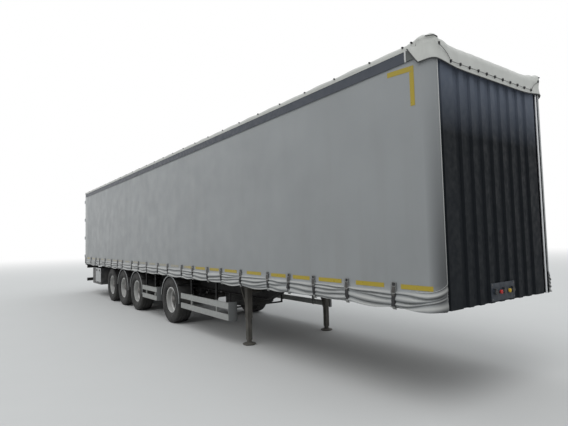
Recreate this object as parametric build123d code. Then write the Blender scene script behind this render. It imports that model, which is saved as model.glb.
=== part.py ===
from build123d import *
import math
import os

# A curtain-sided semi trailer with one forward axle and a three-axle bogie, standing
# on its landing legs. Millimetres; +X is forward, +Y is left, +Z is up. The origin is
# on the ground below the middle of the body.

# Overall size of the body
LENGTH = 16600
WIDTH = 2550
HEIGHT = 4000

# Clearances: soft pieces to their neighbours, turning shafts in their holes,
# and moving pieces to what they pass
SOFT_GAP = 0.3
RUN_GAP = 0.05
PASS_GAP = 7

# Tyres, rims and hubs
TYRE_R = 532
TYRE_WIDTH = 385
TYRE_INSET = 35.5
TREAD_WIDTH = 300
SHOULDER = (10, 48)
BEAD_R = 286
BEAD_WIDTH = 278
BEAD_HEIGHT = 14
RIM_WIDTH = 300
RIM_LIP_R = 298
RIM_WELD = 1
RIM_WALL = 10
HUB_R = 90
HUB_NOSE = 95
HUB_END = 12
DISC_THICK = 14
DISC_FLAT_R = 242
DISH = 45
HAND_HOLES = 10
HAND_HOLE_CIRCLE = 214
HAND_HOLE_R = 22
DRUM_R = 190

# Axles, in order from the front: the lead of the first one, then the bogie
AXLE_COUNT = 4
FRONT_AXLE_LEAD = 2587
AXLE_PITCH = 1310
REAR_OVERHANG = 3978
AXLE_R = 63.5
SPINDLE_R = 42
SPINDLE_TIP = 17
BACKPLATE_R = 205
BACKPLATE_INSET = 197
BACKPLATE_THICK = 8
HUB_CLEAR = 8

# Mudguards over the first three axles
GUARDED_AXLES = 3
GUARD_GAP = 35
GUARD_THICK = 3
GUARD_HEADROOM = 3
GUARD_INSIDE = 185
GUARD_OUTSIDE = 188
GUARD_FRONT_ANGLE = -4
GUARD_REAR_ANGLE = 172
STAY_R = 19
STAY_ANGLES = (40, 140)
STAY_INSET = 20

# Load floor and the steelwork below it
FLOOR_THICK = 28
BEAM_DEPTH = 400
BEAM_Y = 650
BEAM_FLANGE = 150
BEAM_WEB = 8
FLANGE_THICK = 12
NECK_LENGTH = 4000
NECK_DEPTH = 102
NECK_SLOPE = 700
CROSS_PITCH = 650
CROSS_REAR_INSET = 460
CROSS_TIP_DEPTH = 60
CROSS_FLANGE = 45
CROSS_PLATE = 6

# Side rail along each edge of the floor
RAIL_INSET = 25
RAIL_DROP = 135
RAIL_WEB = 6
RAIL_LIP = 45
RAIL_SHELF = 29

# Curtains, the posts and poles at their ends, and the cant rails they hang from
CURTAIN_INSET = 10
CURTAIN_FRONT_INSET = 12
CURTAIN_THICK = 8
CURTAIN_DROP = 20
CURTAIN_END_GAP = 5
CORNER_R = 150
CORNER_TUCK = 60
POST_WALL = 6
POLE_R = 15
POLE_GAP = 3
PILLAR_COUNT = 4
PILLAR_WIDTH = 100
PILLAR_THICK = 26
CANT_DROP = 70
CANT_HEIGHT = 141
CANT_WALL = 6
CANT_DEPTH = 60
CANT_INNER_WALL = 70

# Roof: bows, cover and the hood over the front edge
ROOF_CAMBER = 33
COVER_THICK = 8
COVER_INSET = 22
BOW_FIRST_PITCH = 490
BOW_PITCH = 620
BOW_INSET = 80
BOW_DEPTH = 25
BOW_WIDTH = 40
CAP_HEIGHT = 275
CAP_NOSE_R = 200
CAP_LAP = 78

# Front wall: a flat plate with raised upright ribs, each a centre from the middle and a
# width, and one wider rib beside each corner, a centre in from the corner and a width
WALL_SET_BACK = 73
WALL_THICK = 25
WALL_DROP = 150
RIB_HEIGHT = 25
RIB_BEVEL = 14
RIBS = ((0, 85), (215, 85), (430, 85), (647, 85))
EDGE_RIB = (195, 220)

# Rear frame, and doors that swing back against the sides
FRAME_DEPTH = 90
REAR_POST_WIDTH = 86
HEADER_HEIGHT = 155
SILL_HEIGHT = 165
SILL_DEPTH = 140
DOOR_THICK = 25
DOOR_LAP = (25, 40)
DOOR_HALF_GAP = 6
HINGE_R = 12
HINGE_PIN_R = 8
HINGE_INSET = 13
HINGE_COUNT = 4
HINGE_END = (205, 215)
HINGE_LEAF = 60
HINGE_LUG = 30
HINGE_LUG_GAP = 1
HINGE_PLATE = 20
HINGE_TO_DOOR = 16
STRAP_REACH = 280
STRAP_THICK = 6
STRAP_NECK = 4

# Lock bars: two on each door, with clamps, end cams and a handle
BAR_R = 13.5
BAR_STAND_OFF = 7
BAR_INSETS = (204, 246)
CLAMP_COUNT = 5
CLAMP_END = (85, 75)
CLAMP_HALF = 25
CLAMP_FLANGE = 42
CLAMP_PLATE = 5
CLAMP_COVER = 2
CAM_OVERRUN = (20, 30)
CAM_HALF = 30
CAM_HEIGHT = 30
HANDLE_RISE = 395
HANDLE_HEIGHT = 30
HANDLE_REACH = 320
HANDLE_THICK = 12
HASP_LENGTH = 50

# Coupling plate and kingpin under the neck; the root goes through the plate, and the
# steps below it are radius and length
COUPLING_INSET = 110
COUPLING_LENGTH = 3090
COUPLING_THICK = 10
COUPLING_LAP = 10
KINGPIN_SET_BACK = 1650
KINGPIN_ROOT_R = 60
KINGPIN = ((36.5, 25), (25.4, 35), (35.8, 24))
KINGPIN_BED = 150

# Landing legs, and the shaft and folding crank that work them
LEG_BEHIND_PIN = 2650
LEG_OUTSIDE_BEAM = 280
LEG_SIZE = 100
LEG_WALL = 8
LEG_TOP_GAP = 17
LEG_TUBE = 625
LEG_INSERT = 180
FOOT_R = 120
FOOT_RIM = (15, 12, 22)
FOOT_HEIGHT = 85
FOOT_NECK = 50
FOOT_COLLAR = 5
SHAFT_R = 20
SHAFT_HOLE_R = 30
SHAFT_DROP = 155
GEARBOX = (80, 55, 90)
GEARBOX_BEVEL = 26
CRANK_REACH = 190
CRANK_ARM = 230
CRANK_R = 14
CRANK_ARM_R = 12
CRANK_GRIP = 150
BRACKET_LENGTH = 400
BRACKET_HEIGHT = 105
BRACKET_PLATE = 12
BRACE = (300, 40, 80, 20)

# Air suspension of each axle: places from the axle (+X forward, +Z up)
ARM_THICK = 90
ARM_EYE = (520, 123)
ARM_EYE_R = 50
ARM_NECK = 35
ARM_HUMP = ((80, 75), (-80, 65))
ARM_PAD = (110, 28)
ARM_HEEL = (120, 40)
ARM_SEAT_HALF = 95
EYE_WASHER = 3
SPRING_X = -330
SPRING_SEAT = 68
SPRING_R = 135
SPRING_FOOT_R = 90
SPRING_TOP_R = 115
SPRING_LOBE = 0.35
HANGER_PLATE = 12
HANGER_HALF = (55, 110)
SHOCK_TOP = (460, 50)
SHOCK_FOOT = (130, 103)
SHOCK_R = (32, 14, 22)
SHOCK_BODY = (0.04, 0.6)
SHOCK_INSET = 40
CAM_SHAFT_X = -112
CAM_SHAFT_R = 16
CHAMBER_Y = 430
CHAMBER_R = (80, 66)
CHAMBER_X = (-175, -265, -395)
PUSH_ROD_Z = 100
LEVER = (20, 8)
CHEEK_HALF = 30

# Side guards: how far each rail and the rounded end reach below the side rail, then the gap
# to the mudguard behind, the gap to what is ahead, the reach of the rounded end, and how far
# in from the back and the front the first and last post stand
SIDE_GUARD_INSET = 35
SIDE_GUARD_THICK = 25
SIDE_RAIL_DROPS = ((675, 560), (465, 350))
END_CAP_DROPS = (670, 330)
LONG_GUARD = (128, 90, 120, 510, 530)
SHORT_GUARD = (40, 188, 120, 245, 160)
SIDE_POST = (60, 30)
SIDE_POST_PITCH = 1200

# Underrun bar and lamps at the rear
UNDERRUN_INSET = 110
UNDERRUN_Z = (430, 550)
UNDERRUN_DEPTH = 80
UNDERRUN_ROUND = 15
UNDERRUN_END = 75
UNDERRUN_ARM = (25, 70, 190, 60)
LAMP_LENGTH = 420
LAMP_HEIGHT = 130
LAMP_DEPTH = 85
LAMP_INSET = 5

# Tool box on the right side: a locker behind a lid that drops, over a closed foot and ahead of a
# closed tail
TOOL_FROM_REAR = 1830
TOOL_LENGTH = 740
TOOL_HEIGHT = 510
TOOL_DROP = 85
TOOL_BACK_GAP = 10
TOOL_INSET = 40
TOOL_TAIL = 500
TOOL_FOOT = 75
TOOL_WALL = 4
TOOL_BRACKET = (80, 25, 60)
LID_GAP = 5
LID_THICK = 10
LID_PIN_R = 5
LID_PIN_RISE = 6
LID_LUG_COVER = 4
LID_TOP_GAP = 2
LID_SLOT_GAP = 1
LID_FOOT = 14
LID_KNUCKLE_R = 9
LID_KNUCKLE_HALF = 35
LID_HINGE_INSET = 150
LID_LUG = 20

# Spare wheel in its carrier between the beams
SPARE_LEAD = 1615
SPARE_DROP = 112
CARRIER_BAR = 30
CARRIER_HALF = 300
CARRIER_OUT = 20
CARRIER_IN = 10

# Air tanks under the cross members (columns: place from the first axle, side)
TANK_R = 123
TANK_LENGTH = 720
TANK_BEVEL = 35
TANKS = ((-1485, 260), (-1485, -260), (-585, 260))

# Coupling panel on the front wall (sockets: side, radius)
PANEL_HALF_WIDTH = 260
PANEL_RISE = 15
PANEL_HEIGHT = 205
PANEL_THICK = 8
SOCKETS = ((-190, 28), (-95, 22), (0, 28), (95, 22), (190, 28))
SOCKET_REACH = 24

# Heights worked out from the sizes above
GUARD_R = TYRE_R + GUARD_GAP
RAIL_BOTTOM = TYRE_R + GUARD_R + GUARD_THICK + GUARD_HEADROOM
SIDE_RAILS_Z = [[RAIL_BOTTOM - drop for drop in drops] for drops in SIDE_RAIL_DROPS]
END_CAP_Z = [RAIL_BOTTOM - drop for drop in END_CAP_DROPS]
FLOOR_TOP = RAIL_BOTTOM + RAIL_DROP
DECK = FLOOR_TOP - FLOOR_THICK
BEAM_BOTTOM = DECK - BEAM_DEPTH
NECK_BOTTOM = DECK - NECK_DEPTH
CROSS_DEPTH = NECK_DEPTH - FLANGE_THICK
CROSS_BOTTOM = DECK - CROSS_DEPTH
CURTAIN_BOTTOM = RAIL_BOTTOM - CURTAIN_DROP
CANT_TOP = HEIGHT - CANT_DROP
CANT_BOTTOM = CANT_TOP - CANT_HEIGHT
ROOF_EDGE = HEIGHT - ROOF_CAMBER
CAP_BOTTOM = HEIGHT - CAP_HEIGHT
WALL_TOP = HEIGHT - WALL_DROP
HEADER_BOTTOM = CANT_TOP - HEADER_HEIGHT
SILL_BOTTOM = FLOOR_TOP - SILL_HEIGHT
DOOR_BOTTOM = FLOOR_TOP - DOOR_LAP[0]
DOOR_TOP = HEADER_BOTTOM + DOOR_LAP[1]
LEG_TOP = CROSS_BOTTOM - LEG_TOP_GAP
LEG_BOTTOM = LEG_TOP - LEG_TUBE
SHAFT_Z = LEG_TOP - SHAFT_DROP
TOOL_TOP = RAIL_BOTTOM - TOOL_DROP
TOOL_BOTTOM = TOOL_TOP - TOOL_HEIGHT
LID_PIN_Z = TOOL_BOTTOM + LID_PIN_RISE
SPARE_Z = BEAM_BOTTOM - SPARE_DROP

# Places across the body
RAIL_OUT_Y = WIDTH / 2 - RAIL_INSET
CURTAIN_OUT_Y = WIDTH / 2 - CURTAIN_INSET
CURTAIN_IN_Y = CURTAIN_OUT_Y - CURTAIN_THICK
CORNER_Y = CURTAIN_OUT_Y - CORNER_R
POST_R = CORNER_R - CURTAIN_THICK - SOFT_GAP
POST_OUT_Y = CORNER_Y + POST_R
HINGE_Y = WIDTH / 2 - HINGE_INSET
DOOR_EDGE_Y = HINGE_Y - HINGE_TO_DOOR
BAR_Y = (DOOR_HALF_GAP + BAR_INSETS[0], DOOR_EDGE_Y - BAR_INSETS[1])
BEAM_EDGES = (BEAM_Y - BEAM_FLANGE / 2, BEAM_Y + BEAM_FLANGE / 2)
WEB_OUT_Y = BEAM_Y + BEAM_WEB / 2
WHEEL_Y = WIDTH / 2 - TYRE_INSET - TYRE_WIDTH / 2
BACKPLATE_Y = WHEEL_Y - BACKPLATE_INSET
GUARD_OUT_Y = WHEEL_Y + GUARD_OUTSIDE
LEG_Y = BEAM_Y + LEG_OUTSIDE_BEAM
SIDE_GUARD_Y = WIDTH / 2 - SIDE_GUARD_INSET
TOOL_MOUTH_Y = WIDTH / 2 - TOOL_INSET
TOOL_BACK_Y = BEAM_EDGES[1] + TOOL_BACK_GAP
LID_PIN_Y = -(TOOL_MOUTH_Y + LID_GAP + LID_THICK / 2)

# Places along the body, from the front
FRONT_X = LENGTH / 2
CURTAIN_FRONT_X = FRONT_X - CURTAIN_FRONT_INSET
CORNER_X = CURTAIN_FRONT_X - CORNER_R
CAP_BACK_X = CORNER_X - CAP_LAP
WALL_BACK_X = CURTAIN_FRONT_X - WALL_SET_BACK
WALL_FACE_X = WALL_BACK_X + WALL_THICK
RIB_FACE_X = WALL_FACE_X + RIB_HEIGHT
NECK_START_X = FRONT_X - NECK_LENGTH
COUPLING_FRONT_X = FRONT_X - COUPLING_INSET
KINGPIN_X = FRONT_X - KINGPIN_SET_BACK
LEG_X = KINGPIN_X - LEG_BEHIND_PIN

# Places along the body, from the rear
REAR_X = -LENGTH / 2
HINGE_X = REAR_X + HINGE_R
HINGE_SET_BACK = CLAMP_COVER + 2 * BAR_R + BAR_STAND_OFF + PASS_GAP + HINGE_INSET
DOOR_OUT_X = HINGE_X + HINGE_SET_BACK
DOOR_IN_X = DOOR_OUT_X + DOOR_THICK
FRAME_REAR_X = DOOR_IN_X + PASS_GAP
FRAME_FRONT_X = FRAME_REAR_X + FRAME_DEPTH
SILL_FRONT_X = FRAME_REAR_X + SILL_DEPTH
BAR_X = DOOR_OUT_X - BAR_STAND_OFF - BAR_R
UNDERRUN_X = REAR_X + UNDERRUN_INSET
TOOL_X = (REAR_X + TOOL_FROM_REAR, REAR_X + TOOL_FROM_REAR + TOOL_LENGTH)
LID_HINGES_X = (TOOL_X[0] + LID_HINGE_INSET, TOOL_X[1] - LID_HINGE_INSET)
LAST_AXLE_X = REAR_X + REAR_OVERHANG
BOGIE_X = [LAST_AXLE_X + i * AXLE_PITCH for i in reversed(range(AXLE_COUNT - 1))]
AXLES = [BOGIE_X[0] + FRONT_AXLE_LEAD] + BOGIE_X
SPARE_X = AXLES[0] + SPARE_LEAD


def block(x, y, z):
    """A box between the low and high value on each axis."""
    size = [abs(span[1] - span[0]) for span in (x, y, z)]
    middle = [(span[1] + span[0]) / 2 for span in (x, y, z)]
    return Pos(*middle) * Box(*size)


def around(middle, half):
    """The low and high value of a span that reaches as far on both sides of its middle."""
    return (middle - half, middle + half)


def spaced(first, last, count):
    """Evenly spaced places, the first and the last included."""
    return [first + (last - first) * i / (count - 1) for i in range(count)]


def prism_x(points, x0, x1):
    """A prism along X from an outline of (y, z) points."""
    return extrude(Plane.YZ.offset(x0) * Polygon(*points, align=None), x1 - x0)


def prism_y(points, y0, y1):
    """A prism along Y from an outline of (x, z) points."""
    plane = Plane(origin=(0, y1, 0), x_dir=(1, 0, 0), z_dir=(0, -1, 0))
    return extrude(plane * Polygon(*points, align=None), y1 - y0)


def prism_z(points, z0, z1):
    """A prism along Z from an outline of (x, y) points."""
    return extrude(Plane.XY.offset(z0) * Polygon(*points, align=None), z1 - z0)


def rod(start, end, radius):
    """A round bar between two points."""
    run = Vector(*end) - Vector(*start)
    return extrude(Plane(origin=start, z_dir=run) * Circle(radius), run.length)


def rod_y(x, z, y0, y1, radius):
    """A round bar along Y."""
    return rod((x, y0, z), (x, y1, z), radius)


def upright_turned(x, y, face):
    """A full turn of a face of (radius, height) about an upright axis."""
    plane = Plane(origin=(x, y, 0), x_dir=(1, 0, 0), z_dir=(0, -1, 0))
    return revolve(plane * face, Axis((x, y, 0), (0, 0, 1)), 360)


def mirrored(shape):
    """The same piece on the other side of the trailer."""
    return mirror(shape, about=Plane.XZ)


def both_sides(*shapes):
    """Each left piece followed by its copy on the right."""
    return [copy for shape in shapes for copy in (shape, mirrored(shape))]


def write_node(name, *shapes):
    """One STEP file that holds the solids of a node."""
    solids = [solid for shape in shapes for solid in shape.solids()]
    export_step(Compound(children=solids), f"parts/{name}.step")


# Chassis

def beam_section(low):
    """An I-beam on the left beam line whose lower edge follows (x, z) points from rear to front."""
    rear, front = low[0][0], low[-1][0]
    web = prism_y(low + [(front, DECK), (rear, DECK)], BEAM_Y - BEAM_WEB / 2, WEB_OUT_Y)
    bottom = prism_y(low + [(x, z + FLANGE_THICK) for x, z in reversed(low)], *BEAM_EDGES)
    top = block((rear, front), BEAM_EDGES, (DECK - FLANGE_THICK, DECK))
    return web + bottom + top


def main_beam():
    """The full-depth beam, with the hole that the landing legs' shaft runs through."""
    beam = beam_section([(SILL_FRONT_X, BEAM_BOTTOM), (NECK_START_X, BEAM_BOTTOM)])
    return beam - rod_y(LEG_X, SHAFT_Z, BEAM_Y - BEAM_WEB, BEAM_Y + BEAM_WEB, SHAFT_HOLE_R)


def neck_beam():
    """The shallow beam over the tractor, with the slope that leads into it."""
    return beam_section([
        (NECK_START_X, BEAM_BOTTOM), (NECK_START_X + NECK_SLOPE, NECK_BOTTOM), (WALL_BACK_X, NECK_BOTTOM),
    ])


def cross_stations():
    first = SILL_FRONT_X + CROSS_REAR_INSET
    count = int((CORNER_X - first) / CROSS_PITCH) + 1
    return [first + i * CROSS_PITCH for i in range(count)]


def cross_member():
    """The channel between the two beams at one station."""
    inside = (-BEAM_EDGES[0], BEAM_EDGES[0])
    web = block((0, CROSS_PLATE), inside, (CROSS_BOTTOM, DECK))
    top = block((0, CROSS_FLANGE), inside, (DECK - CROSS_PLATE, DECK))
    bottom = block((0, CROSS_FLANGE), inside, (CROSS_BOTTOM, CROSS_BOTTOM + CROSS_PLATE))
    return web + top + bottom


def outrigger():
    """The tapered bracket from the left beam out to the side rail."""
    flange_y = BEAM_EDGES[1]
    tip_y = RAIL_OUT_Y - RAIL_WEB - RAIL_SHELF
    tip_low = DECK - CROSS_TIP_DEPTH
    under = DECK - FLANGE_THICK
    outline = [
        (WEB_OUT_Y, CROSS_BOTTOM), (tip_y, tip_low), (tip_y, DECK), (flange_y, DECK), (flange_y, under),
        (WEB_OUT_Y, under),
    ]
    foot = [
        (WEB_OUT_Y, CROSS_BOTTOM), (tip_y, tip_low), (tip_y, tip_low + CROSS_PLATE),
        (WEB_OUT_Y, CROSS_BOTTOM + CROSS_PLATE),
    ]
    top = block((0, CROSS_FLANGE), (flange_y, tip_y), (DECK - CROSS_PLATE, DECK))
    return prism_x(outline, 0, CROSS_PLATE) + top + prism_x(foot, 0, CROSS_FLANGE)


def floor():
    """The boards, rebated along each side so that the rail's lip lies flush with them."""
    wide = RAIL_OUT_Y - RAIL_WEB
    flush = RAIL_OUT_Y - RAIL_LIP
    seat = FLOOR_TOP - RAIL_WEB
    outline = [(-wide, DECK), (wide, DECK), (wide, seat), (flush, seat), (flush, FLOOR_TOP),
               (-flush, FLOOR_TOP), (-flush, seat), (-wide, seat)]
    tongue = block((CORNER_X, WALL_BACK_X), (-CORNER_Y, CORNER_Y), (DECK, FLOOR_TOP))
    return prism_x(outline, SILL_FRONT_X, CORNER_X) + tongue


def side_rail():
    """An upright web with a lip on the floor, a shelf under it and an inward lip at its foot."""
    web = RAIL_OUT_Y - RAIL_WEB
    lip = RAIL_OUT_Y - RAIL_LIP
    shelf = web - RAIL_SHELF
    seat = FLOOR_TOP - RAIL_WEB
    outline = [
        (RAIL_OUT_Y, RAIL_BOTTOM), (RAIL_OUT_Y, FLOOR_TOP), (lip, FLOOR_TOP), (lip, seat), (web, seat),
        (web, DECK), (shelf, DECK), (shelf, DECK - RAIL_WEB), (web, DECK - RAIL_WEB),
        (web, RAIL_BOTTOM + RAIL_WEB), (lip, RAIL_BOTTOM + RAIL_WEB), (lip, RAIL_BOTTOM),
    ]
    return prism_x(outline, SILL_FRONT_X, CORNER_X)


# Body

def corner_face(radius, inset):
    """A quarter disc in plan round the corner centre, cut back by an inset on its two flat sides."""
    disc = Pos(CORNER_X, CORNER_Y) * Circle(radius)
    low_x = CORNER_X + inset
    low_y = CORNER_Y + inset
    quarter = Polygon((low_x, low_y), (low_x + radius, low_y), (low_x + radius, low_y + radius),
                      (low_x, low_y + radius), align=None)
    return disc & quarter


def corner_post():
    face = corner_face(POST_R, 0) - corner_face(POST_R - POST_WALL, POST_WALL)
    return extrude(Plane.XY.offset(RAIL_BOTTOM) * face, WALL_TOP - RAIL_BOTTOM)


def front_wall():
    """The plate with its raised ribs, as one outline in plan."""
    right = [(y, width) for y, width in RIBS[1:]] + [(CORNER_Y - EDGE_RIB[0], EDGE_RIB[1])]
    ribs = [(-y, width) for y, width in reversed(right)] + [RIBS[0]] + right
    outline = [(WALL_BACK_X, -CORNER_Y), (WALL_FACE_X, -CORNER_Y)]
    for y, width in ribs:
        low, high = around(y, width / 2)
        outline += [
            (WALL_FACE_X, low - RIB_BEVEL), (RIB_FACE_X, low),
            (RIB_FACE_X, high), (WALL_FACE_X, high + RIB_BEVEL),
        ]
    outline += [(WALL_FACE_X, CORNER_Y), (WALL_BACK_X, CORNER_Y)]
    return prism_z(outline, RAIL_BOTTOM, WALL_TOP)


def rear_frame():
    depth = (FRAME_REAR_X, FRAME_FRONT_X)
    inner = POST_OUT_Y - REAR_POST_WIDTH
    post = block(depth, (inner, POST_OUT_Y), (FLOOR_TOP, CANT_TOP))
    header = block(depth, (-inner, inner), (HEADER_BOTTOM, CANT_TOP))
    sill = block((FRAME_REAR_X, SILL_FRONT_X), (-POST_OUT_Y, POST_OUT_Y), (SILL_BOTTOM, FLOOR_TOP))
    return both_sides(post) + [header, sill]


def cant_rail():
    """An upside-down channel that hides the curtain's rollers."""
    out = WIDTH / 2
    wall = out - CANT_WALL
    inner = out - CANT_DEPTH
    under = CANT_TOP - CANT_WALL
    foot = CANT_TOP - CANT_INNER_WALL
    outline = [
        (out, CANT_BOTTOM), (out, CANT_TOP), (inner, CANT_TOP), (inner, foot), (inner + CANT_WALL, foot),
        (inner + CANT_WALL, under), (wall, under), (wall, CANT_BOTTOM),
    ]
    return prism_x(outline, FRAME_FRONT_X, CAP_BACK_X - SOFT_GAP)


def pillars():
    places = spaced(FRAME_REAR_X, CORNER_X, PILLAR_COUNT + 2)[1:-1]
    depth = (RAIL_OUT_Y - PILLAR_THICK, RAIL_OUT_Y)
    return [block(around(x, PILLAR_WIDTH / 2), depth, (FLOOR_TOP, CANT_TOP - CANT_WALL)) for x in places]


def poles():
    """The two tension poles that the ends of the left curtain wind onto."""
    front_x = CURTAIN_FRONT_X - CURTAIN_THICK - POLE_GAP - POLE_R
    front_y = CORNER_Y - POLE_R
    rear_x = FRAME_FRONT_X + POLE_R
    rear_y = POST_OUT_Y - POLE_R
    front = rod((front_x, front_y, RAIL_BOTTOM), (front_x, front_y, WALL_TOP), POLE_R)
    rear = rod((rear_x, rear_y, FLOOR_TOP), (rear_x, rear_y, CANT_TOP - CANT_WALL), POLE_R)
    return [front, rear]


def curtain():
    """The left curtain, which runs round the front corner to the front wall."""
    back_x = FRAME_REAR_X + HINGE_PLATE + CURTAIN_END_GAP
    top = CANT_TOP - CANT_WALL - SOFT_GAP
    side = block((back_x, CORNER_X), (CURTAIN_IN_Y, CURTAIN_OUT_Y), (CURTAIN_BOTTOM, top))
    bend_face = corner_face(CORNER_R, 0) - corner_face(CORNER_R - CURTAIN_THICK, 0)
    bend_top = HEIGHT - CAP_NOSE_R - CORNER_TUCK
    return side + extrude(Plane.XY.offset(CURTAIN_BOTTOM) * bend_face, bend_top - CURTAIN_BOTTOM)


def arch_section(inset, depth, foot_z):
    """A shallow arch in the YZ plane, drawn in by an inset, with an upright leg at each end."""
    half = WIDTH / 2 - COVER_INSET - inset
    edge, crown = ROOF_EDGE - inset, HEIGHT - inset
    inner_half = half - depth
    outer = ThreePointArc((-half, edge), (0, crown), (half, edge))
    inner = ThreePointArc((inner_half, edge - depth), (0, crown - depth), (-inner_half, edge - depth))
    right = Polyline((half, edge), (half, foot_z), (inner_half, foot_z), (inner_half, edge - depth))
    left = Polyline((-inner_half, edge - depth), (-inner_half, foot_z), (-half, foot_z), (-half, edge))
    return make_face([outer, right, inner, left])


def roof_cover():
    face = arch_section(0, COVER_THICK, CANT_TOP + SOFT_GAP)
    return extrude(Plane.YZ.offset(FRAME_REAR_X) * face, CAP_BACK_X - SOFT_GAP - FRAME_REAR_X)


def roof_bows():
    """The bows across the roof: a short step behind the first, then an even pitch."""
    front = CAP_BACK_X - BOW_INSET
    second = front - BOW_FIRST_PITCH
    places = [front] + [second - i * BOW_PITCH for i in range(int((second - FRAME_FRONT_X) / BOW_PITCH) + 1)]
    face = arch_section(COVER_THICK + SOFT_GAP, BOW_DEPTH, CANT_TOP)
    bow = extrude(Plane.YZ.offset(-BOW_WIDTH / 2) * face, BOW_WIDTH)
    return [Pos(x, 0, 0) * bow for x in places]


def hood(inset, back_x, bottom):
    """The solid form of the front hood, drawn in by an inset: rounded in plan and at its nose."""
    half = WIDTH / 2 - inset
    front = FRONT_X - inset
    top = HEIGHT - inset
    radius = CORNER_R + CURTAIN_INSET - inset
    plan = Pos((back_x + front - radius) / 2, 0) * Rectangle(front - radius - back_x, 2 * half)
    plan += Pos((back_x + front) / 2, 0) * Rectangle(front - back_x, 2 * (half - radius))
    for y in (half - radius, radius - half):
        plan += Pos(front - radius, y) * Circle(radius)
    body = extrude(Plane.XY.offset(bottom) * plan, top - bottom)
    nose = CAP_NOSE_R - inset
    side = Plane(origin=(0, half, 0), x_dir=(1, 0, 0), z_dir=(0, -1, 0))
    outline = [
        Polyline((front - nose, top), (back_x, top), (back_x, bottom), (front, bottom), (front, top - nose)),
        RadiusArc((front, top - nose), (front - nose, top), -nose),
    ]
    return body & extrude(side * make_face(outline), 2 * half)


def roof_front_cap():
    wall = CURTAIN_INSET - SOFT_GAP
    return hood(0, CAP_BACK_X, CAP_BOTTOM) - hood(wall, CAP_BACK_X - wall, CAP_BOTTOM - wall)


# Rear doors

def door():
    return block((DOOR_OUT_X, DOOR_IN_X), (DOOR_HALF_GAP, DOOR_EDGE_Y), (DOOR_BOTTOM, DOOR_TOP))


def hinge_heights():
    return spaced(DOOR_BOTTOM + HINGE_END[0], DOOR_TOP - HINGE_END[1], HINGE_COUNT)


def door_straps():
    """The moving leaf of each hinge on the left door, cranked out to its knuckle round the pin."""
    leaf_x = DOOR_OUT_X - STRAP_THICK
    tip_y = DOOR_EDGE_Y - STRAP_REACH
    arm = [
        (leaf_x, tip_y), (DOOR_OUT_X, tip_y), (DOOR_OUT_X, DOOR_EDGE_Y - HINGE_PIN_R),
        (HINGE_X + STRAP_NECK, HINGE_Y + HINGE_PIN_R), (HINGE_X - STRAP_NECK, HINGE_Y - HINGE_PIN_R),
        (leaf_x, DOOR_EDGE_Y - 2 * HINGE_R),
    ]
    knuckle = Pos(HINGE_X, HINGE_Y)
    plan = Polygon(*arm, align=None) + knuckle * Circle(HINGE_R) - knuckle * Circle(HINGE_PIN_R + RUN_GAP)
    return [extrude(Plane.XY.offset(z - HINGE_LEAF / 2) * plan, HINGE_LEAF) for z in hinge_heights()]


def door_hinge(z):
    """The fixed leaf of one left hinge: two lugs from the post and the pin through them."""
    low, high = around(z, HINGE_LEAF / 2)
    pin_z = (low - HINGE_LUG, high + HINGE_LUG)
    shape = rod((HINGE_X, HINGE_Y, pin_z[0]), (HINGE_X, HINGE_Y, pin_z[1]), HINGE_PIN_R)
    end = FRAME_REAR_X + HINGE_PLATE
    out = HINGE_Y + HINGE_R
    plate = Polygon((HINGE_X, POST_OUT_Y), (end, POST_OUT_Y), (end, out), (HINGE_X, out), align=None)
    lug = Pos(HINGE_X, HINGE_Y) * Circle(HINGE_R) + plate
    for foot in (pin_z[0], high + HINGE_LUG_GAP):
        shape += extrude(Plane.XY.offset(foot) * lug, HINGE_LUG - HINGE_LUG_GAP)
    return shape


def bar_clamp(y, z):
    """One saddle over a lock bar, with a flange each side that lies on the door."""
    front = BAR_X - BAR_R - CLAMP_COVER
    foot = DOOR_OUT_X - CLAMP_PLATE
    saddle = BAR_R + CLAMP_PLATE
    plan = [
        (DOOR_OUT_X, y - CLAMP_FLANGE), (DOOR_OUT_X, y + CLAMP_FLANGE),
        (foot, y + CLAMP_FLANGE), (foot, y + saddle), (front, y + BAR_R),
        (front, y - BAR_R), (foot, y - saddle), (foot, y - CLAMP_FLANGE),
    ]
    return prism_z(plan, *around(z, CLAMP_HALF))


def lock_bar(y, inward):
    """A left door's lock bar, clamps, end cams and handle; inward is 1 or -1, towards the handle's end."""
    low = DOOR_BOTTOM - CAM_OVERRUN[0]
    high = DOOR_TOP + CAM_OVERRUN[1]
    front = BAR_X - BAR_R - CLAMP_COVER
    shape = rod((BAR_X, y, low), (BAR_X, y, high), BAR_R)
    for z in spaced(DOOR_BOTTOM + CLAMP_END[0], DOOR_TOP - CLAMP_END[1], CLAMP_COUNT):
        shape += bar_clamp(y, z)
    claw = [
        (BAR_X - BAR_R, y - CAM_HALF), (BAR_X + BAR_R, y - CAM_HALF / 2), (BAR_X + BAR_R, y + CAM_HALF / 2),
        (BAR_X - BAR_R, y + CAM_HALF),
    ]
    for z in (low, high - CAM_HEIGHT):
        shape += prism_z(claw, z, z + CAM_HEIGHT)
    handle_z = (DOOR_BOTTOM + HANDLE_RISE, DOOR_BOTTOM + HANDLE_RISE + HANDLE_HEIGHT)
    tip_y = y + inward * HANDLE_REACH
    shape += block((front, front + HANDLE_THICK), (y, tip_y), handle_z)
    hasp_y = (tip_y, tip_y - inward * HASP_LENGTH)
    return shape + block((front + HANDLE_THICK, DOOR_OUT_X), hasp_y, handle_z)


def lock_bars():
    return [lock_bar(BAR_Y[0], 1), lock_bar(BAR_Y[1], -1)]


# Coupling

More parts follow.
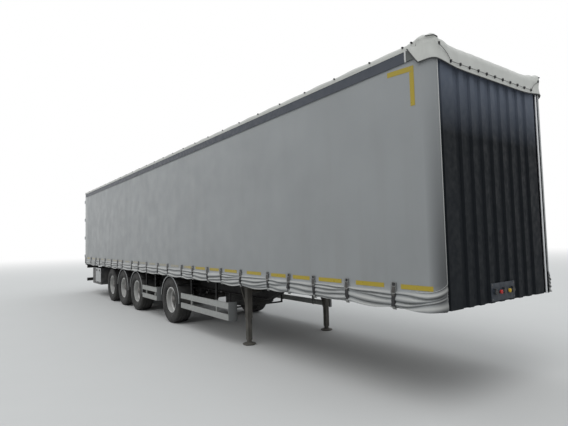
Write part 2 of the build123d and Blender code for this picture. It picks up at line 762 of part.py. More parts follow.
def coupling_plate():
    """The plate under the neck, with the hole for the kingpin's root and the bed that carries it."""
    half = BEAM_Y - COUPLING_LAP
    under = NECK_BOTTOM - COUPLING_THICK
    span = (COUPLING_FRONT_X - COUPLING_LENGTH, COUPLING_FRONT_X)
    plate = block(span, (-half, half), (under, NECK_BOTTOM))
    plate += block(around(KINGPIN_X, KINGPIN_BED), around(0, BEAM_EDGES[0]), (NECK_BOTTOM, CROSS_BOTTOM))
    return plate - rod((KINGPIN_X, 0, under), (KINGPIN_X, 0, NECK_BOTTOM), KINGPIN_ROOT_R + SOFT_GAP)


def kingpin():
    """The stepped pin below the plate, with its wide root up through the plate to the bed."""
    z = NECK_BOTTOM - COUPLING_THICK
    shape = rod((KINGPIN_X, 0, NECK_BOTTOM), (KINGPIN_X, 0, z), KINGPIN_ROOT_R)
    for radius, length in KINGPIN:
        shape += rod((KINGPIN_X, 0, z), (KINGPIN_X, 0, z - length), radius)
        z -= length
    return shape


# Landing legs

def leg_tube():
    half = LEG_SIZE / 2
    bore = half - LEG_WALL
    tube = block(around(LEG_X, half), around(LEG_Y, half), (LEG_BOTTOM, LEG_TOP))
    return tube - block(around(LEG_X, bore), around(LEG_Y, bore), (LEG_BOTTOM, LEG_TOP - LEG_WALL))


def leg_foot():
    """The inner tube of a leg with the round dished foot it stands on."""
    half = LEG_SIZE / 2 - LEG_WALL - SOFT_GAP
    tube = block(around(LEG_X, half), around(LEG_Y, half), (FOOT_HEIGHT, LEG_BOTTOM + LEG_INSERT))
    bevel, low, high = FOOT_RIM
    neck = half + FOOT_COLLAR
    profile = [
        (0, 0), (FOOT_R - bevel, 0), (FOOT_R, low), (FOOT_R, high),
        (neck, FOOT_NECK), (neck, FOOT_HEIGHT), (0, FOOT_HEIGHT),
    ]
    return tube + upright_turned(LEG_X, LEG_Y, Polygon(*profile, align=None))


def leg_mount():
    """The channel of plates that bolts a leg to its beam, and the bar that braces it."""
    face = LEG_Y - LEG_SIZE / 2
    low = LEG_TOP - BRACKET_HEIGHT
    back_x, front_x = LEG_X - BRACKET_LENGTH, LEG_X + LEG_SIZE / 2
    plate = block((back_x, front_x), (face - BRACKET_PLATE, face), (low, CROSS_BOTTOM))
    for x in (back_x, front_x - BRACKET_PLATE):
        plate += block((x, x + BRACKET_PLATE), (WEB_OUT_Y, face - BRACKET_PLATE), (low, CROSS_BOTTOM))
    reach, drop, width, thick = BRACE
    leg_x = LEG_X - LEG_SIZE / 2
    foot_z = LEG_BOTTOM + drop
    brace = [
        (leg_x - reach, low + width), (leg_x - reach + drop, low + width),
        (leg_x, foot_z + width), (leg_x, foot_z),
    ]
    return [plate, prism_y(brace, face, face + thick)]


def leg_gearbox():
    """The gearbox on the outer face of the left leg, which the crank turns."""
    half, depth, reach = GEARBOX
    out = LEG_Y + LEG_SIZE / 2
    z = around(SHAFT_Z, reach)
    flat = half - GEARBOX_BEVEL
    side = out + depth - GEARBOX_BEVEL
    plan = [
        (LEG_X - half, out), (LEG_X + half, out), (LEG_X + half, side),
        (LEG_X + flat, out + depth), (LEG_X - flat, out + depth), (LEG_X - half, side),
    ]
    return prism_z(plan, *z)


def leg_crank():
    """The cross shaft between the legs, and the folding crank on the left."""
    face = LEG_Y - LEG_SIZE / 2
    stub_y = LEG_Y + LEG_SIZE / 2 + GEARBOX[1]
    arm_y = LEG_Y + LEG_SIZE / 2 + CRANK_REACH - CRANK_R
    end_x = LEG_X - CRANK_ARM
    shaft = rod_y(LEG_X, SHAFT_Z, -face, face, SHAFT_R)
    crank = rod_y(LEG_X, SHAFT_Z, stub_y, arm_y + CRANK_R, CRANK_R)
    crank += rod((LEG_X, arm_y, SHAFT_Z), (end_x, arm_y, SHAFT_Z), CRANK_ARM_R)
    crank += rod_y(end_x, SHAFT_Z, arm_y, arm_y - CRANK_GRIP, CRANK_R)
    return [shaft, crank]


# Running gear

def wheel_plane(x, side, z):
    """A plane through a wheel's centre: its own x runs outward and its own y runs up."""
    return Plane(origin=(x, side * WHEEL_Y, z), x_dir=(0, side, 0), z_dir=(side, 0, 0))


def spin(plane, face):
    """A full turn of a face about the wheel's axle."""
    return revolve(plane * face, Axis(plane.origin, plane.x_dir), 360)


def tyre(plane):
    """The tyre's section: flat beads, sidewalls that bulge to their widest point, and a flat tread."""
    half = TYRE_WIDTH / 2
    bead = BEAD_WIDTH / 2
    right = [
        (TREAD_WIDTH / 2, TYRE_R), (half - SHOULDER[0], TYRE_R - SHOULDER[1]), (half, (BEAD_R + TYRE_R) / 2),
        (bead, BEAD_R + BEAD_HEIGHT), (bead, BEAD_R),
    ]
    left = [(-out, radius) for out, radius in reversed(right)]
    return spin(plane, Polygon(*left, *right, align=None))


def rim(plane, bore):
    """The dished rim with its hub and hand holes; a bore above 0 is a road wheel's, with its brake drum."""
    edge = RIM_WIDTH / 2
    bead = BEAD_WIDTH / 2 + SOFT_GAP
    seat = BEAD_R - SOFT_GAP
    inner = seat - RIM_WALL
    barrel = [
        (-edge, inner), (-edge, RIM_LIP_R), (-bead, RIM_LIP_R), (-bead, seat),
        (bead, seat), (bead, RIM_LIP_R), (edge, RIM_LIP_R), (edge, inner),
    ]
    disc = [
        (HUB_NOSE, 0), (HUB_NOSE, HUB_R), (DISC_THICK, HUB_R), (DISC_THICK, DISC_FLAT_R),
        (DISH, inner + RIM_WELD), (DISH - DISC_THICK, inner + RIM_WELD), (0, DISC_FLAT_R), (0, 0),
    ]
    shape = spin(plane, Polygon(*barrel, align=None)) + spin(plane, Polygon(*disc, align=None))
    face = Plane(origin=plane.origin, z_dir=plane.x_dir, x_dir=plane.y_dir)
    holes = [face * place * Circle(HAND_HOLE_R) for place in PolarLocations(HAND_HOLE_CIRCLE, HAND_HOLES)]
    for hole in holes:
        shape -= extrude(hole, DISC_THICK)
    if bore:
        drum_back = BACKPLATE_THICK + HUB_CLEAR - BACKPLATE_INSET
        drum = [(drum_back, 0), (0, 0), (0, DRUM_R), (drum_back, DRUM_R)]
        hole = [(drum_back, 0), (drum_back, bore), (HUB_NOSE - HUB_END, bore), (HUB_NOSE - HUB_END, 0)]
        shape += spin(plane, Polygon(*drum, align=None))
        shape -= spin(plane, Polygon(*hole, align=None))
    return shape


def axle(x):
    """One axle beam with its brake backplates and spindles."""
    shape = rod_y(x, TYRE_R, -BACKPLATE_Y, BACKPLATE_Y, AXLE_R)
    face = BACKPLATE_Y + BACKPLATE_THICK
    for side in (1, -1):
        shape += rod_y(x, TYRE_R, side * BACKPLATE_Y, side * face, BACKPLATE_R)
        shape += rod_y(x, TYRE_R, side * face, side * (WHEEL_Y + HUB_NOSE - SPINDLE_TIP), SPINDLE_R)
    return shape


def trailing_arm(x):
    """A cast arm from its hanger over the axle to the seat of the air spring."""
    eye_x, eye_z = x + ARM_EYE[0], TYRE_R + ARM_EYE[1]
    seat = TYRE_R + AXLE_R
    pad = TYRE_R + SPRING_SEAT
    spring = x + SPRING_X
    hump = [(x + forward, seat + rise) for forward, rise in ARM_HUMP]
    reach, edge = ARM_PAD
    heel, drop = ARM_HEEL
    outline = [
        (eye_x, eye_z - ARM_NECK), (eye_x, eye_z + ARM_NECK), *hump,
        (spring + reach, pad), (spring - reach, pad), (spring - reach, pad - edge),
        (spring + heel, pad - drop), (x - ARM_SEAT_HALF, seat), (x + ARM_SEAT_HALF, seat),
    ]
    half = ARM_THICK / 2
    boss = half + EYE_WASHER
    return prism_y(outline, *around(BEAM_Y, half)) + rod_y(eye_x, eye_z, *around(BEAM_Y, boss), ARM_EYE_R)


def hanger(x):
    """The two cheeks and the web that hold a trailing arm's eye below the beam."""
    eye_x, eye_z = x + ARM_EYE[0], TYRE_R + ARM_EYE[1]
    inner, outer = around(BEAM_Y, ARM_THICK / 2 + EYE_WASHER)
    low, high = HANGER_HALF
    outline = [
        (eye_x - high, BEAM_BOTTOM), (eye_x - low, eye_z - low),
        (eye_x + low, eye_z - low), (eye_x + high, BEAM_BOTTOM),
    ]
    cheeks = prism_y(outline, inner - HANGER_PLATE, inner) + prism_y(outline, outer, outer + HANGER_PLATE)
    front = eye_x + ARM_EYE_R + HANGER_PLATE
    return cheeks + block((front - HANGER_PLATE, front), (inner, outer), (eye_z + low, BEAM_BOTTOM))


def air_spring(x):
    """The rolling bellows between an arm's pad and the beam."""
    low = TYRE_R + SPRING_SEAT
    lobe = low + (BEAM_BOTTOM - low) * SPRING_LOBE
    bevel = SPRING_R - SPRING_TOP_R
    outline = [
        (0, low), (SPRING_FOOT_R, low), (SPRING_FOOT_R, lobe), (SPRING_TOP_R, lobe), (SPRING_R, lobe + bevel),
        (SPRING_R, BEAM_BOTTOM - bevel), (SPRING_TOP_R, BEAM_BOTTOM), (0, BEAM_BOTTOM),
    ]
    return upright_turned(x + SPRING_X, BEAM_Y, Polygon(*outline, align=None))


def shock_absorber(x):
    """A telescopic damper beside an arm, pinned to the hanger and to the arm."""
    y = BEAM_Y - ARM_THICK / 2 - SHOCK_INSET
    top = (x + SHOCK_TOP[0], y, BEAM_BOTTOM - SHOCK_TOP[1])
    foot = (x + SHOCK_FOOT[0], y, TYRE_R + SHOCK_FOOT[1])
    start, joint = [[a + (b - a) * share for a, b in zip(foot, top)] for share in SHOCK_BODY]
    body_r, rod_r, eye_r = SHOCK_R
    arm_face = BEAM_Y - ARM_THICK / 2
    shape = rod(start, joint, body_r) + rod(joint, top, rod_r)
    shape += rod_y(foot[0], foot[2], y - rod_r, arm_face, eye_r)
    return shape + rod_y(top[0], top[2], y - rod_r, arm_face - EYE_WASHER - HANGER_PLATE, eye_r)


def brake_chamber(x):
    """The air chamber behind an axle, its push rod and lever, and the camshaft to the left brake."""
    lever_x = x + CAM_SHAFT_X
    rod_z = TYRE_R + PUSH_ROD_Z
    start, step, end = (x + place for place in CHAMBER_X)
    shape = rod((start, CHAMBER_Y, rod_z), (step, CHAMBER_Y, rod_z), CHAMBER_R[0])
    shape += rod((step, CHAMBER_Y, rod_z), (end, CHAMBER_Y, rod_z), CHAMBER_R[1])
    shape += rod((lever_x, CHAMBER_Y, rod_z), (start, CHAMBER_Y, rod_z), LEVER[1])
    half, thick = LEVER
    shape += block(around(lever_x, half), around(CHAMBER_Y, thick), (TYRE_R - half, rod_z + half))
    shape += rod_y(lever_x, TYRE_R, CHAMBER_Y - thick, BACKPLATE_Y, CAM_SHAFT_R)
    return [shape, chamber_bracket(x, start, rod_z)]


def chamber_bracket(x, start, rod_z):
    """The plate that carries a brake chamber, and the cheek that joins it to the axle."""
    face = start + HANGER_PLATE
    inner, outer = around(CHAMBER_Y, CHAMBER_R[1])
    plate = block((start, face), (inner, outer), (TYRE_R - CHEEK_HALF, rod_z + LEVER[0]))
    plate -= rod((start, CHAMBER_Y, rod_z), (face, CHAMBER_Y, rod_z), LEVER[1] + PASS_GAP)
    reach = (start, x - AXLE_R - SOFT_GAP)
    return plate + block(reach, (inner, inner + HANGER_PLATE), around(TYRE_R, CHEEK_HALF))


def mudguard(x):
    """A half-round guard over a left wheel."""
    centre = Plane(origin=(x, GUARD_OUT_Y, TYRE_R), x_dir=(1, 0, 0), z_dir=(0, -1, 0))
    sweep = GUARD_REAR_ANGLE - GUARD_FRONT_ANGLE
    outer = CenterArc((0, 0), GUARD_R + GUARD_THICK, GUARD_FRONT_ANGLE, sweep)
    inner = CenterArc((0, 0), GUARD_R, GUARD_FRONT_ANGLE, sweep)
    ends = [Line(outer @ 0, inner @ 0), Line(outer @ 1, inner @ 1)]
    return extrude(centre * make_face([outer, inner] + ends), GUARD_INSIDE + GUARD_OUTSIDE)


def mudguard_stays(x):
    """The two tubes that carry a left mudguard from the beam."""
    reach = GUARD_R + GUARD_THICK + STAY_R
    end = GUARD_OUT_Y - STAY_INSET
    stays = []
    for turn in [math.radians(angle) for angle in STAY_ANGLES]:
        place = (x + reach * math.cos(turn), TYRE_R + reach * math.sin(turn))
        stays.append(rod_y(*place, WEB_OUT_Y, end, STAY_R))
    return stays


# Guards, lamps and boxes

def guard_spans():
    """Each side guard's rails from back to front, its rounded end's reach, and its posts."""
    behind = GUARD_R + LONG_GUARD[0]
    long_span = (AXLES[0] + behind, LEG_X - LONG_GUARD[1] - LONG_GUARD[2])
    short_span = (AXLES[1] + GUARD_R + SHORT_GUARD[0], AXLES[0] - GUARD_R - SHORT_GUARD[1] - SHORT_GUARD[2])
    spans = []
    for span, guard in ((long_span, LONG_GUARD), (short_span, SHORT_GUARD)):
        first, last = span[0] + guard[3], span[1] - guard[4]
        count = math.ceil((last - first) / SIDE_POST_PITCH) + 1
        spans.append((span, guard[2], spaced(first, last, count)))
    return spans


def side_guard(span, reach):
    """The two rails of one left side guard and its rounded front end."""
    depth = (SIDE_GUARD_Y - SIDE_GUARD_THICK, SIDE_GUARD_Y)
    rails = [block(span, depth, z) for z in SIDE_RAILS_Z]
    ring = Circle(reach) - Circle(reach - SIDE_GUARD_THICK)
    quarter = Pos(reach / 2, reach / 2) * Rectangle(reach, reach)
    face = Pos(span[1], SIDE_GUARD_Y - reach) * (ring & quarter)
    low, high = END_CAP_Z
    return rails + [extrude(Plane.XY.offset(low) * face, high - low)]


def side_guard_post(x):
    width, depth = SIDE_POST
    face = SIDE_GUARD_Y - SIDE_GUARD_THICK
    return block(around(x, width / 2), (face - depth, face), (SIDE_RAILS_Z[0][0], RAIL_BOTTOM))


def underrun():
    """The bar across the rear with its long edges rounded, and the two arms from the beams."""
    half = WIDTH / 2 - UNDERRUN_END
    front = UNDERRUN_X + UNDERRUN_DEPTH
    low, high = UNDERRUN_Z
    bar = block((UNDERRUN_X, front), (-half, half), UNDERRUN_Z)
    bar = fillet(bar.edges().filter_by(Axis.Y), UNDERRUN_ROUND)
    narrow, foot, reach, back = UNDERRUN_ARM
    arm = [
        (front, low + UNDERRUN_ROUND), (front + foot, low + UNDERRUN_ROUND),
        (front + reach, BEAM_BOTTOM), (front + back, BEAM_BOTTOM), (front, high - UNDERRUN_ROUND),
    ]
    return [bar] + both_sides(prism_y(arm, BEAM_EDGES[0] + narrow, BEAM_EDGES[1] - narrow))


def tail_lamp():
    rear = FRAME_REAR_X + LAMP_INSET
    out = WIDTH / 2 - UNDERRUN_END
    z = (SILL_BOTTOM - LAMP_HEIGHT, SILL_BOTTOM)
    return block((rear, rear + LAMP_DEPTH), (out - LAMP_LENGTH, out), z)


def tool_box():
    """The box body with its open locker over a closed foot and tail, hinge lugs, pins and brackets."""
    w = TOOL_WALL
    tail = TOOL_X[0] - TOOL_TAIL
    body = block((tail, TOOL_X[1]), (-TOOL_MOUTH_Y, -TOOL_BACK_Y), (TOOL_BOTTOM - TOOL_FOOT, TOOL_TOP))
    inside = (TOOL_BOTTOM + w, TOOL_TOP - w)
    body -= block((TOOL_X[0] + w, TOOL_X[1] - w), (-TOOL_MOUTH_Y, -TOOL_BACK_Y - w), inside)
    lug_z = (LID_PIN_Z - LID_PIN_RISE, LID_PIN_Z + LID_PIN_R)
    for x in LID_HINGES_X:
        ends = around(x, LID_KNUCKLE_HALF + LID_PIN_R + LID_LUG)
        body += rod((ends[0], LID_PIN_Y, LID_PIN_Z), (ends[1], LID_PIN_Y, LID_PIN_Z), LID_PIN_R)
        for lug in ((ends[0], ends[0] + LID_LUG), (ends[1] - LID_LUG, ends[1])):
            body += block(lug, (LID_PIN_Y - LID_LUG_COVER, -TOOL_MOUTH_Y), lug_z)
    inset, half, height = TOOL_BRACKET
    brackets = [
        block(around(x, half), (-TOOL_BACK_Y, -WEB_OUT_Y), (TOOL_TOP - 2 * height, TOOL_TOP - height))
        for x in (tail + inset, TOOL_X[1] - inset)
    ]
    return [body] + brackets


def tool_box_lid():
    """The drop-down lid with its two knuckles."""
    depth = (LID_PIN_Y - LID_THICK / 2, LID_PIN_Y + LID_THICK / 2)
    shape = block(TOOL_X, depth, (LID_PIN_Z + LID_FOOT, TOOL_TOP - LID_TOP_GAP))
    for x in LID_HINGES_X:
        ends = around(x, LID_KNUCKLE_HALF)
        shape += rod((ends[0], LID_PIN_Y, LID_PIN_Z), (ends[1], LID_PIN_Y, LID_PIN_Z), LID_KNUCKLE_R)
        shape += block(ends, depth, (LID_PIN_Z, LID_PIN_Z + LID_FOOT))
    for x in LID_HINGES_X:
        ends = around(x, LID_KNUCKLE_HALF + LID_SLOT_GAP)
        shape -= rod((ends[0], LID_PIN_Y, LID_PIN_Z), (ends[1], LID_PIN_Y, LID_PIN_Z), LID_PIN_R + RUN_GAP)
    return shape


def spare_plane():
    """The spare wheel lies flat, with its outer side down."""
    return Plane(origin=(SPARE_X, 0, SPARE_Z), x_dir=(0, 0, -1), z_dir=(0, -1, 0))


def spare_carrier():
    """Two cradle bars under the spare wheel, hung from the beams."""
    seat = SPARE_Z - TYRE_WIDTH / 2
    low = seat - CARRIER_BAR
    out, inner = BEAM_Y + CARRIER_OUT, BEAM_Y - CARRIER_IN
    outline = [
        (-out, BEAM_BOTTOM), (-out, low), (out, low), (out, BEAM_BOTTOM), (inner, BEAM_BOTTOM), (inner, seat),
        (-inner, seat), (-inner, BEAM_BOTTOM),
    ]
    return [prism_x(outline, *around(SPARE_X + side * CARRIER_HALF, CARRIER_BAR / 2)) for side in (1, -1)]


def air_tank(x, y):
    """A tank with bevelled ends, tight under the cross members."""
    z = CROSS_BOTTOM - TANK_R
    half = TANK_LENGTH / 2
    tank = rod((x - half, y, z), (x + half, y, z), TANK_R)
    return chamfer(tank.edges().filter_by(GeomType.CIRCLE), TANK_BEVEL)


def coupling_panel():
    z = (NECK_BOTTOM + PANEL_RISE, NECK_BOTTOM + PANEL_RISE + PANEL_HEIGHT)
    face = RIB_FACE_X + PANEL_THICK
    plate = block((RIB_FACE_X, face), around(0, PANEL_HALF_WIDTH), z)
    middle = (z[0] + z[1]) / 2
    for y, radius in SOCKETS:
        plate += rod((face, y, middle), (face + SOCKET_REACH, y, middle), radius)
    return plate


def write_chassis():
    write_node("main_beams", *both_sides(main_beam()))
    write_node("neck_beams", *both_sides(neck_beam()))
    member, bracket = cross_member(), outrigger()
    crosses = []
    for x in cross_stations():
        crosses += [Pos(x, 0, 0) * member] + both_sides(Pos(x, 0, 0) * bracket)
    write_node("cross_members", *crosses)
    write_node("floor_boards", floor())
    write_node("side_rails", *both_sides(side_rail()))
    write_node("coupling_plate", coupling_plate())
    write_node("kingpin", kingpin())
    write_node("landing_legs", *both_sides(leg_tube(), leg_foot(), *leg_mount()), leg_gearbox())
    write_node("landing_crank", *leg_crank())


def write_body():
    write_node("front_wall", front_wall())
    write_node("front_corner_posts", *both_sides(corner_post()))
    write_node("rear_frame", *rear_frame())
    write_node("cant_rails", *both_sides(cant_rail()))
    write_node("side_pillars", *both_sides(*pillars()))
    write_node("curtain_poles", *both_sides(*poles()))
    write_node("curtain_left", curtain())
    write_node("curtain_right", mirrored(curtain()))
    write_node("roof_bows", *roof_bows())
    write_node("roof_cover", roof_cover())
    write_node("roof_front_cap", roof_front_cap())
    write_node("coupling_panel", coupling_panel())


def write_doors():
    write_node("door_hinges", *both_sides(*[door_hinge(z) for z in hinge_heights()]))
    leaf = door()
    for strap in door_straps():
        leaf += strap
    bars = lock_bars()
    write_node("rear_door_left", leaf)
    write_node("rear_door_right", mirrored(leaf))
    write_node("lock_bars_left", *bars)
    write_node("lock_bars_right", *[mirrored(bar) for bar in bars])


def write_running_gear():
    guarded = AXLES[:GUARDED_AXLES]
    write_node("axles", *[axle(x) for x in AXLES])
    write_node("trailing_arms", *both_sides(*[trailing_arm(x) for x in AXLES]))
    write_node("suspension_hangers", *both_sides(*[hanger(x) for x in AXLES]))
    write_node("air_springs", *both_sides(*[air_spring(x) for x in AXLES]))
    write_node("shock_absorbers", *both_sides(*[shock_absorber(x) for x in AXLES]))
    write_node("brake_chambers", *both_sides(*[piece for x in AXLES for piece in brake_chamber(x)]))
    write_node("mudguards", *both_sides(*[mudguard(x) for x in guarded]))
    write_node("mudguard_stays", *both_sides(*[stay for x in guarded for stay in mudguard_stays(x)]))
    for number, x in enumerate(AXLES, start=1):
        for side, name in ((1, "left"), (-1, "right")):
            plane = wheel_plane(x, side, TYRE_R)
            write_node(f"tyre_{number}_{name}", tyre(plane))
            write_node(f"rim_{number}_{name}", rim(plane, SPINDLE_R + RUN_GAP))


def write_fittings():
    rails, posts = [], []
    for span, reach, places in guard_spans():
        rails += side_guard(span, reach)
        posts += [side_guard_post(x) for x in places]
    write_node("side_guard_rails", *both_sides(*rails))
    write_node("side_guard_posts", *both_sides(*posts))
    write_node("underrun_bar", *underrun())
    write_node("tail_lamps", *both_sides(tail_lamp()))
    write_node("tool_box", *tool_box())
    write_node("tool_box_lid", tool_box_lid())
    write_node("spare_wheel_carrier", *spare_carrier())
    write_node("spare_tyre", tyre(spare_plane()))
    write_node("spare_rim", rim(spare_plane(), 0))
    write_node("air_tanks", *[air_tank(AXLES[0] + x, y) for x, y in TANKS])


os.makedirs("parts", exist_ok=True)
write_chassis()
write_body()
write_doors()
write_running_gear()
write_fittings()
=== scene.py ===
import math

import bmesh
import bpy
import numpy as np
from mathutils import Matrix, Vector


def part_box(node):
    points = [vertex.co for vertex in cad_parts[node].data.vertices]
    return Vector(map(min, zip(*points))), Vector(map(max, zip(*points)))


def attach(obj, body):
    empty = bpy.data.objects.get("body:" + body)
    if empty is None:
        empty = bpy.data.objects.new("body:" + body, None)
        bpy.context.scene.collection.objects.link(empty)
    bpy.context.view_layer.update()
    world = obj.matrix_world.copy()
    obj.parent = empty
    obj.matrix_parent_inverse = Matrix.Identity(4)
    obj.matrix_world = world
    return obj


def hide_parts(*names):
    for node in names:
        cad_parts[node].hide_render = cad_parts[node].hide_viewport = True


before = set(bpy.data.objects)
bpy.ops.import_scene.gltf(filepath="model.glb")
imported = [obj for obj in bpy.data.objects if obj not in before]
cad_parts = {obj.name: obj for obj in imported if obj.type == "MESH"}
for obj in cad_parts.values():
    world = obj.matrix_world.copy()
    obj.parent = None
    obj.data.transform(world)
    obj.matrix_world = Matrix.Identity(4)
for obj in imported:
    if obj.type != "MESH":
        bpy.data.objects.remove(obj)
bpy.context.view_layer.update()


# The place it stands in: a pale floor that fades into a white background, soft light from
# an overcast sky with a broad lamp high on the right, and a camera at eye height beside
# the right front corner.
CAMERA_PLACE = (11.0245, -5.1254, 1.8980)
CAMERA_TURN = 0.6229
CAMERA_RISE = 0.0594
CAMERA_LEAN = -0.0252
FOCAL_PIXELS = 439.96
PICTURE_WIDTH = 568
SENSOR = 36.0
FAR_CLIP = 500
FLOOR_HALF = 160.0
FLOOR_COLOUR = (0.52, 0.52, 0.51, 1)
FLOOR_MOTTLE = 0.97
FLOOR_FADE = (14.0, 60.0)
SKY_COLOUR = (0.94, 0.97, 1.0, 1)
SKY_RISE = (-0.1, 0.9)
SKY_LIGHT = (0.25, 1.35)
SUN_LIGHT = 0.75
SUN_SOFTNESS = 0.7
SUN_FROM = (0.28, -0.6, 1.0)
WHITE = (1, 1, 1, 1)


class Nodes:
    """A shader tree with short ways to add to it."""

    def __init__(self, owner, emptied=True):
        owner.use_nodes = True
        self.tree = owner.node_tree
        if emptied:
            self.tree.nodes.clear()

    def add(self, kind, inputs=None, **settings):
        """One node, with its settings, and its inputs as values or as other nodes' outputs."""
        made = self.tree.nodes.new("ShaderNode" + kind)
        for name, value in settings.items():
            setattr(made, name, value)
        for name, value in (inputs or {}).items():
            if isinstance(value, bpy.types.NodeSocket):
                self.tree.links.new(value, made.inputs[name])
            else:
                made.inputs[name].default_value = value
        return made

    def worked(self, operation, first, second=0.5):
        """The result of a sum with one or two values."""
        return self.add("Math", {0: first, 1: second}, operation=operation).outputs[0]

    def ranged(self, value, start, end, low=0.0, high=1.0, **settings):
        """Values from start to end drawn onto low to high, and held beyond."""
        return self.add("MapRange", {"Value": value, "From Min": start, "From Max": end,
                                     "To Min": low, "To Max": high}, **settings).outputs[0]

    def seen_directly(self):
        """1 for the camera's own rays and for what shows in metal or through glass."""
        path = self.add("LightPath").outputs
        either = self.worked("MAXIMUM", path["Is Camera Ray"], path["Is Glossy Ray"])
        return self.worked("MAXIMUM", either, path["Is Transmission Ray"])


def placed(name, data):
    """A new object in the scene."""
    made = bpy.data.objects.new(name, data)
    bpy.context.scene.collection.objects.link(made)
    return made


def camera_in_place():
    """The camera, turned and leaned as the picture was taken."""
    ahead = Vector((
        -math.cos(CAMERA_TURN) * math.cos(CAMERA_RISE),
        math.sin(CAMERA_TURN) * math.cos(CAMERA_RISE),
        math.sin(CAMERA_RISE),
    ))
    level = ahead.cross(Vector((0, 0, 1))).normalized()
    upright = level.cross(ahead)
    right = math.cos(CAMERA_LEAN) * level + math.sin(CAMERA_LEAN) * upright
    up = math.cos(CAMERA_LEAN) * upright - math.sin(CAMERA_LEAN) * level
    optics = bpy.data.cameras.new("camera")
    optics.sensor_width = SENSOR
    optics.lens = FOCAL_PIXELS / PICTURE_WIDTH * SENSOR
    optics.clip_end = FAR_CLIP
    made = placed("camera", optics)
    turn = Matrix((right, up, -ahead)).transposed().to_4x4()
    made.matrix_world = Matrix.Translation(CAMERA_PLACE) @ turn
    bpy.context.scene.camera = made


def pale_floor():
    """A wide floor, pale and slightly mottled, that turns white far from the trailer."""
    mesh = bpy.data.meshes.new("floor")
    corners = [(FLOOR_HALF * x, FLOOR_HALF * y, 0) for x, y in ((-1, -1), (1, -1), (1, 1), (-1, 1))]
    mesh.from_pydata(corners, [], [(0, 1, 2, 3)])
    placed("floor", mesh)
    paint = bpy.data.materials.new("floor")
    nodes = Nodes(paint)
    place = nodes.add("TexCoord").outputs["Object"]
    mottle = nodes.add("TexNoise", {"Vector": place, "Scale": 1.3, "Detail": 5.0})
    ramp = nodes.add("ValToRGB", {"Fac": mottle.outputs["Fac"]})
    ramp.color_ramp.elements[0].color = tuple(FLOOR_MOTTLE * c for c in FLOOR_COLOUR[:3]) + (1,)
    ramp.color_ramp.elements[1].color = FLOOR_COLOUR
    matt = nodes.add("BsdfDiffuse", {"Color": ramp.outputs["Color"]})
    white = nodes.add("Emission", {"Color": WHITE, "Strength": 1.0})
    reach = nodes.add("VectorMath", {0: place}, operation="LENGTH").outputs["Value"]
    fade = nodes.ranged(reach, *FLOOR_FADE, interpolation_type="SMOOTHSTEP")
    share = nodes.worked("MULTIPLY", fade, nodes.seen_directly())
    both = nodes.add("MixShader", {0: share, 1: matt.outputs[0], 2: white.outputs[0]})
    nodes.add("OutputMaterial", {"Surface": both.outputs[0]})
    mesh.materials.append(paint)


def soft_light():
    """A white sky and one broad sun high on the right."""
    sky = bpy.data.worlds.new("sky")
    bpy.context.scene.world = sky
    nodes = Nodes(sky)
    way = nodes.add("TexCoord").outputs["Generated"]
    up = nodes.add("SeparateXYZ", {"Vector": way}).outputs["Z"]
    light = nodes.ranged(up, *SKY_RISE, *SKY_LIGHT)
    dome = nodes.add("Background", {"Color": SKY_COLOUR, "Strength": light})
    backdrop = nodes.add("Background", {"Color": WHITE, "Strength": 1.0})
    both = nodes.add("MixShader", {0: nodes.seen_directly(), 1: dome.outputs[0], 2: backdrop.outputs[0]})
    nodes.add("OutputWorld", {"Surface": both.outputs[0]})
    lamp = bpy.data.lights.new("sun", "SUN")
    lamp.energy = SUN_LIGHT
    lamp.angle = SUN_SOFTNESS
    placed("sun", lamp).rotation_euler = Vector(SUN_FROM).to_track_quat("Z", "Y").to_euler()


camera_in_place()
pale_floor()
soft_light()
bpy.context.scene.view_settings.view_transform = "Standard"


# The chassis: two welded steel beams with a shallow neck ahead of the landing legs, cross
# members and outriggers through them, all in dark satin paint that road dust has dulled,
# and the greased coupling plate with its kingpin.
DUST = (0.33, 0.31, 0.28)
DUST_HEIGHT = 0.2
GRAIN_DEPTH = 0.0006


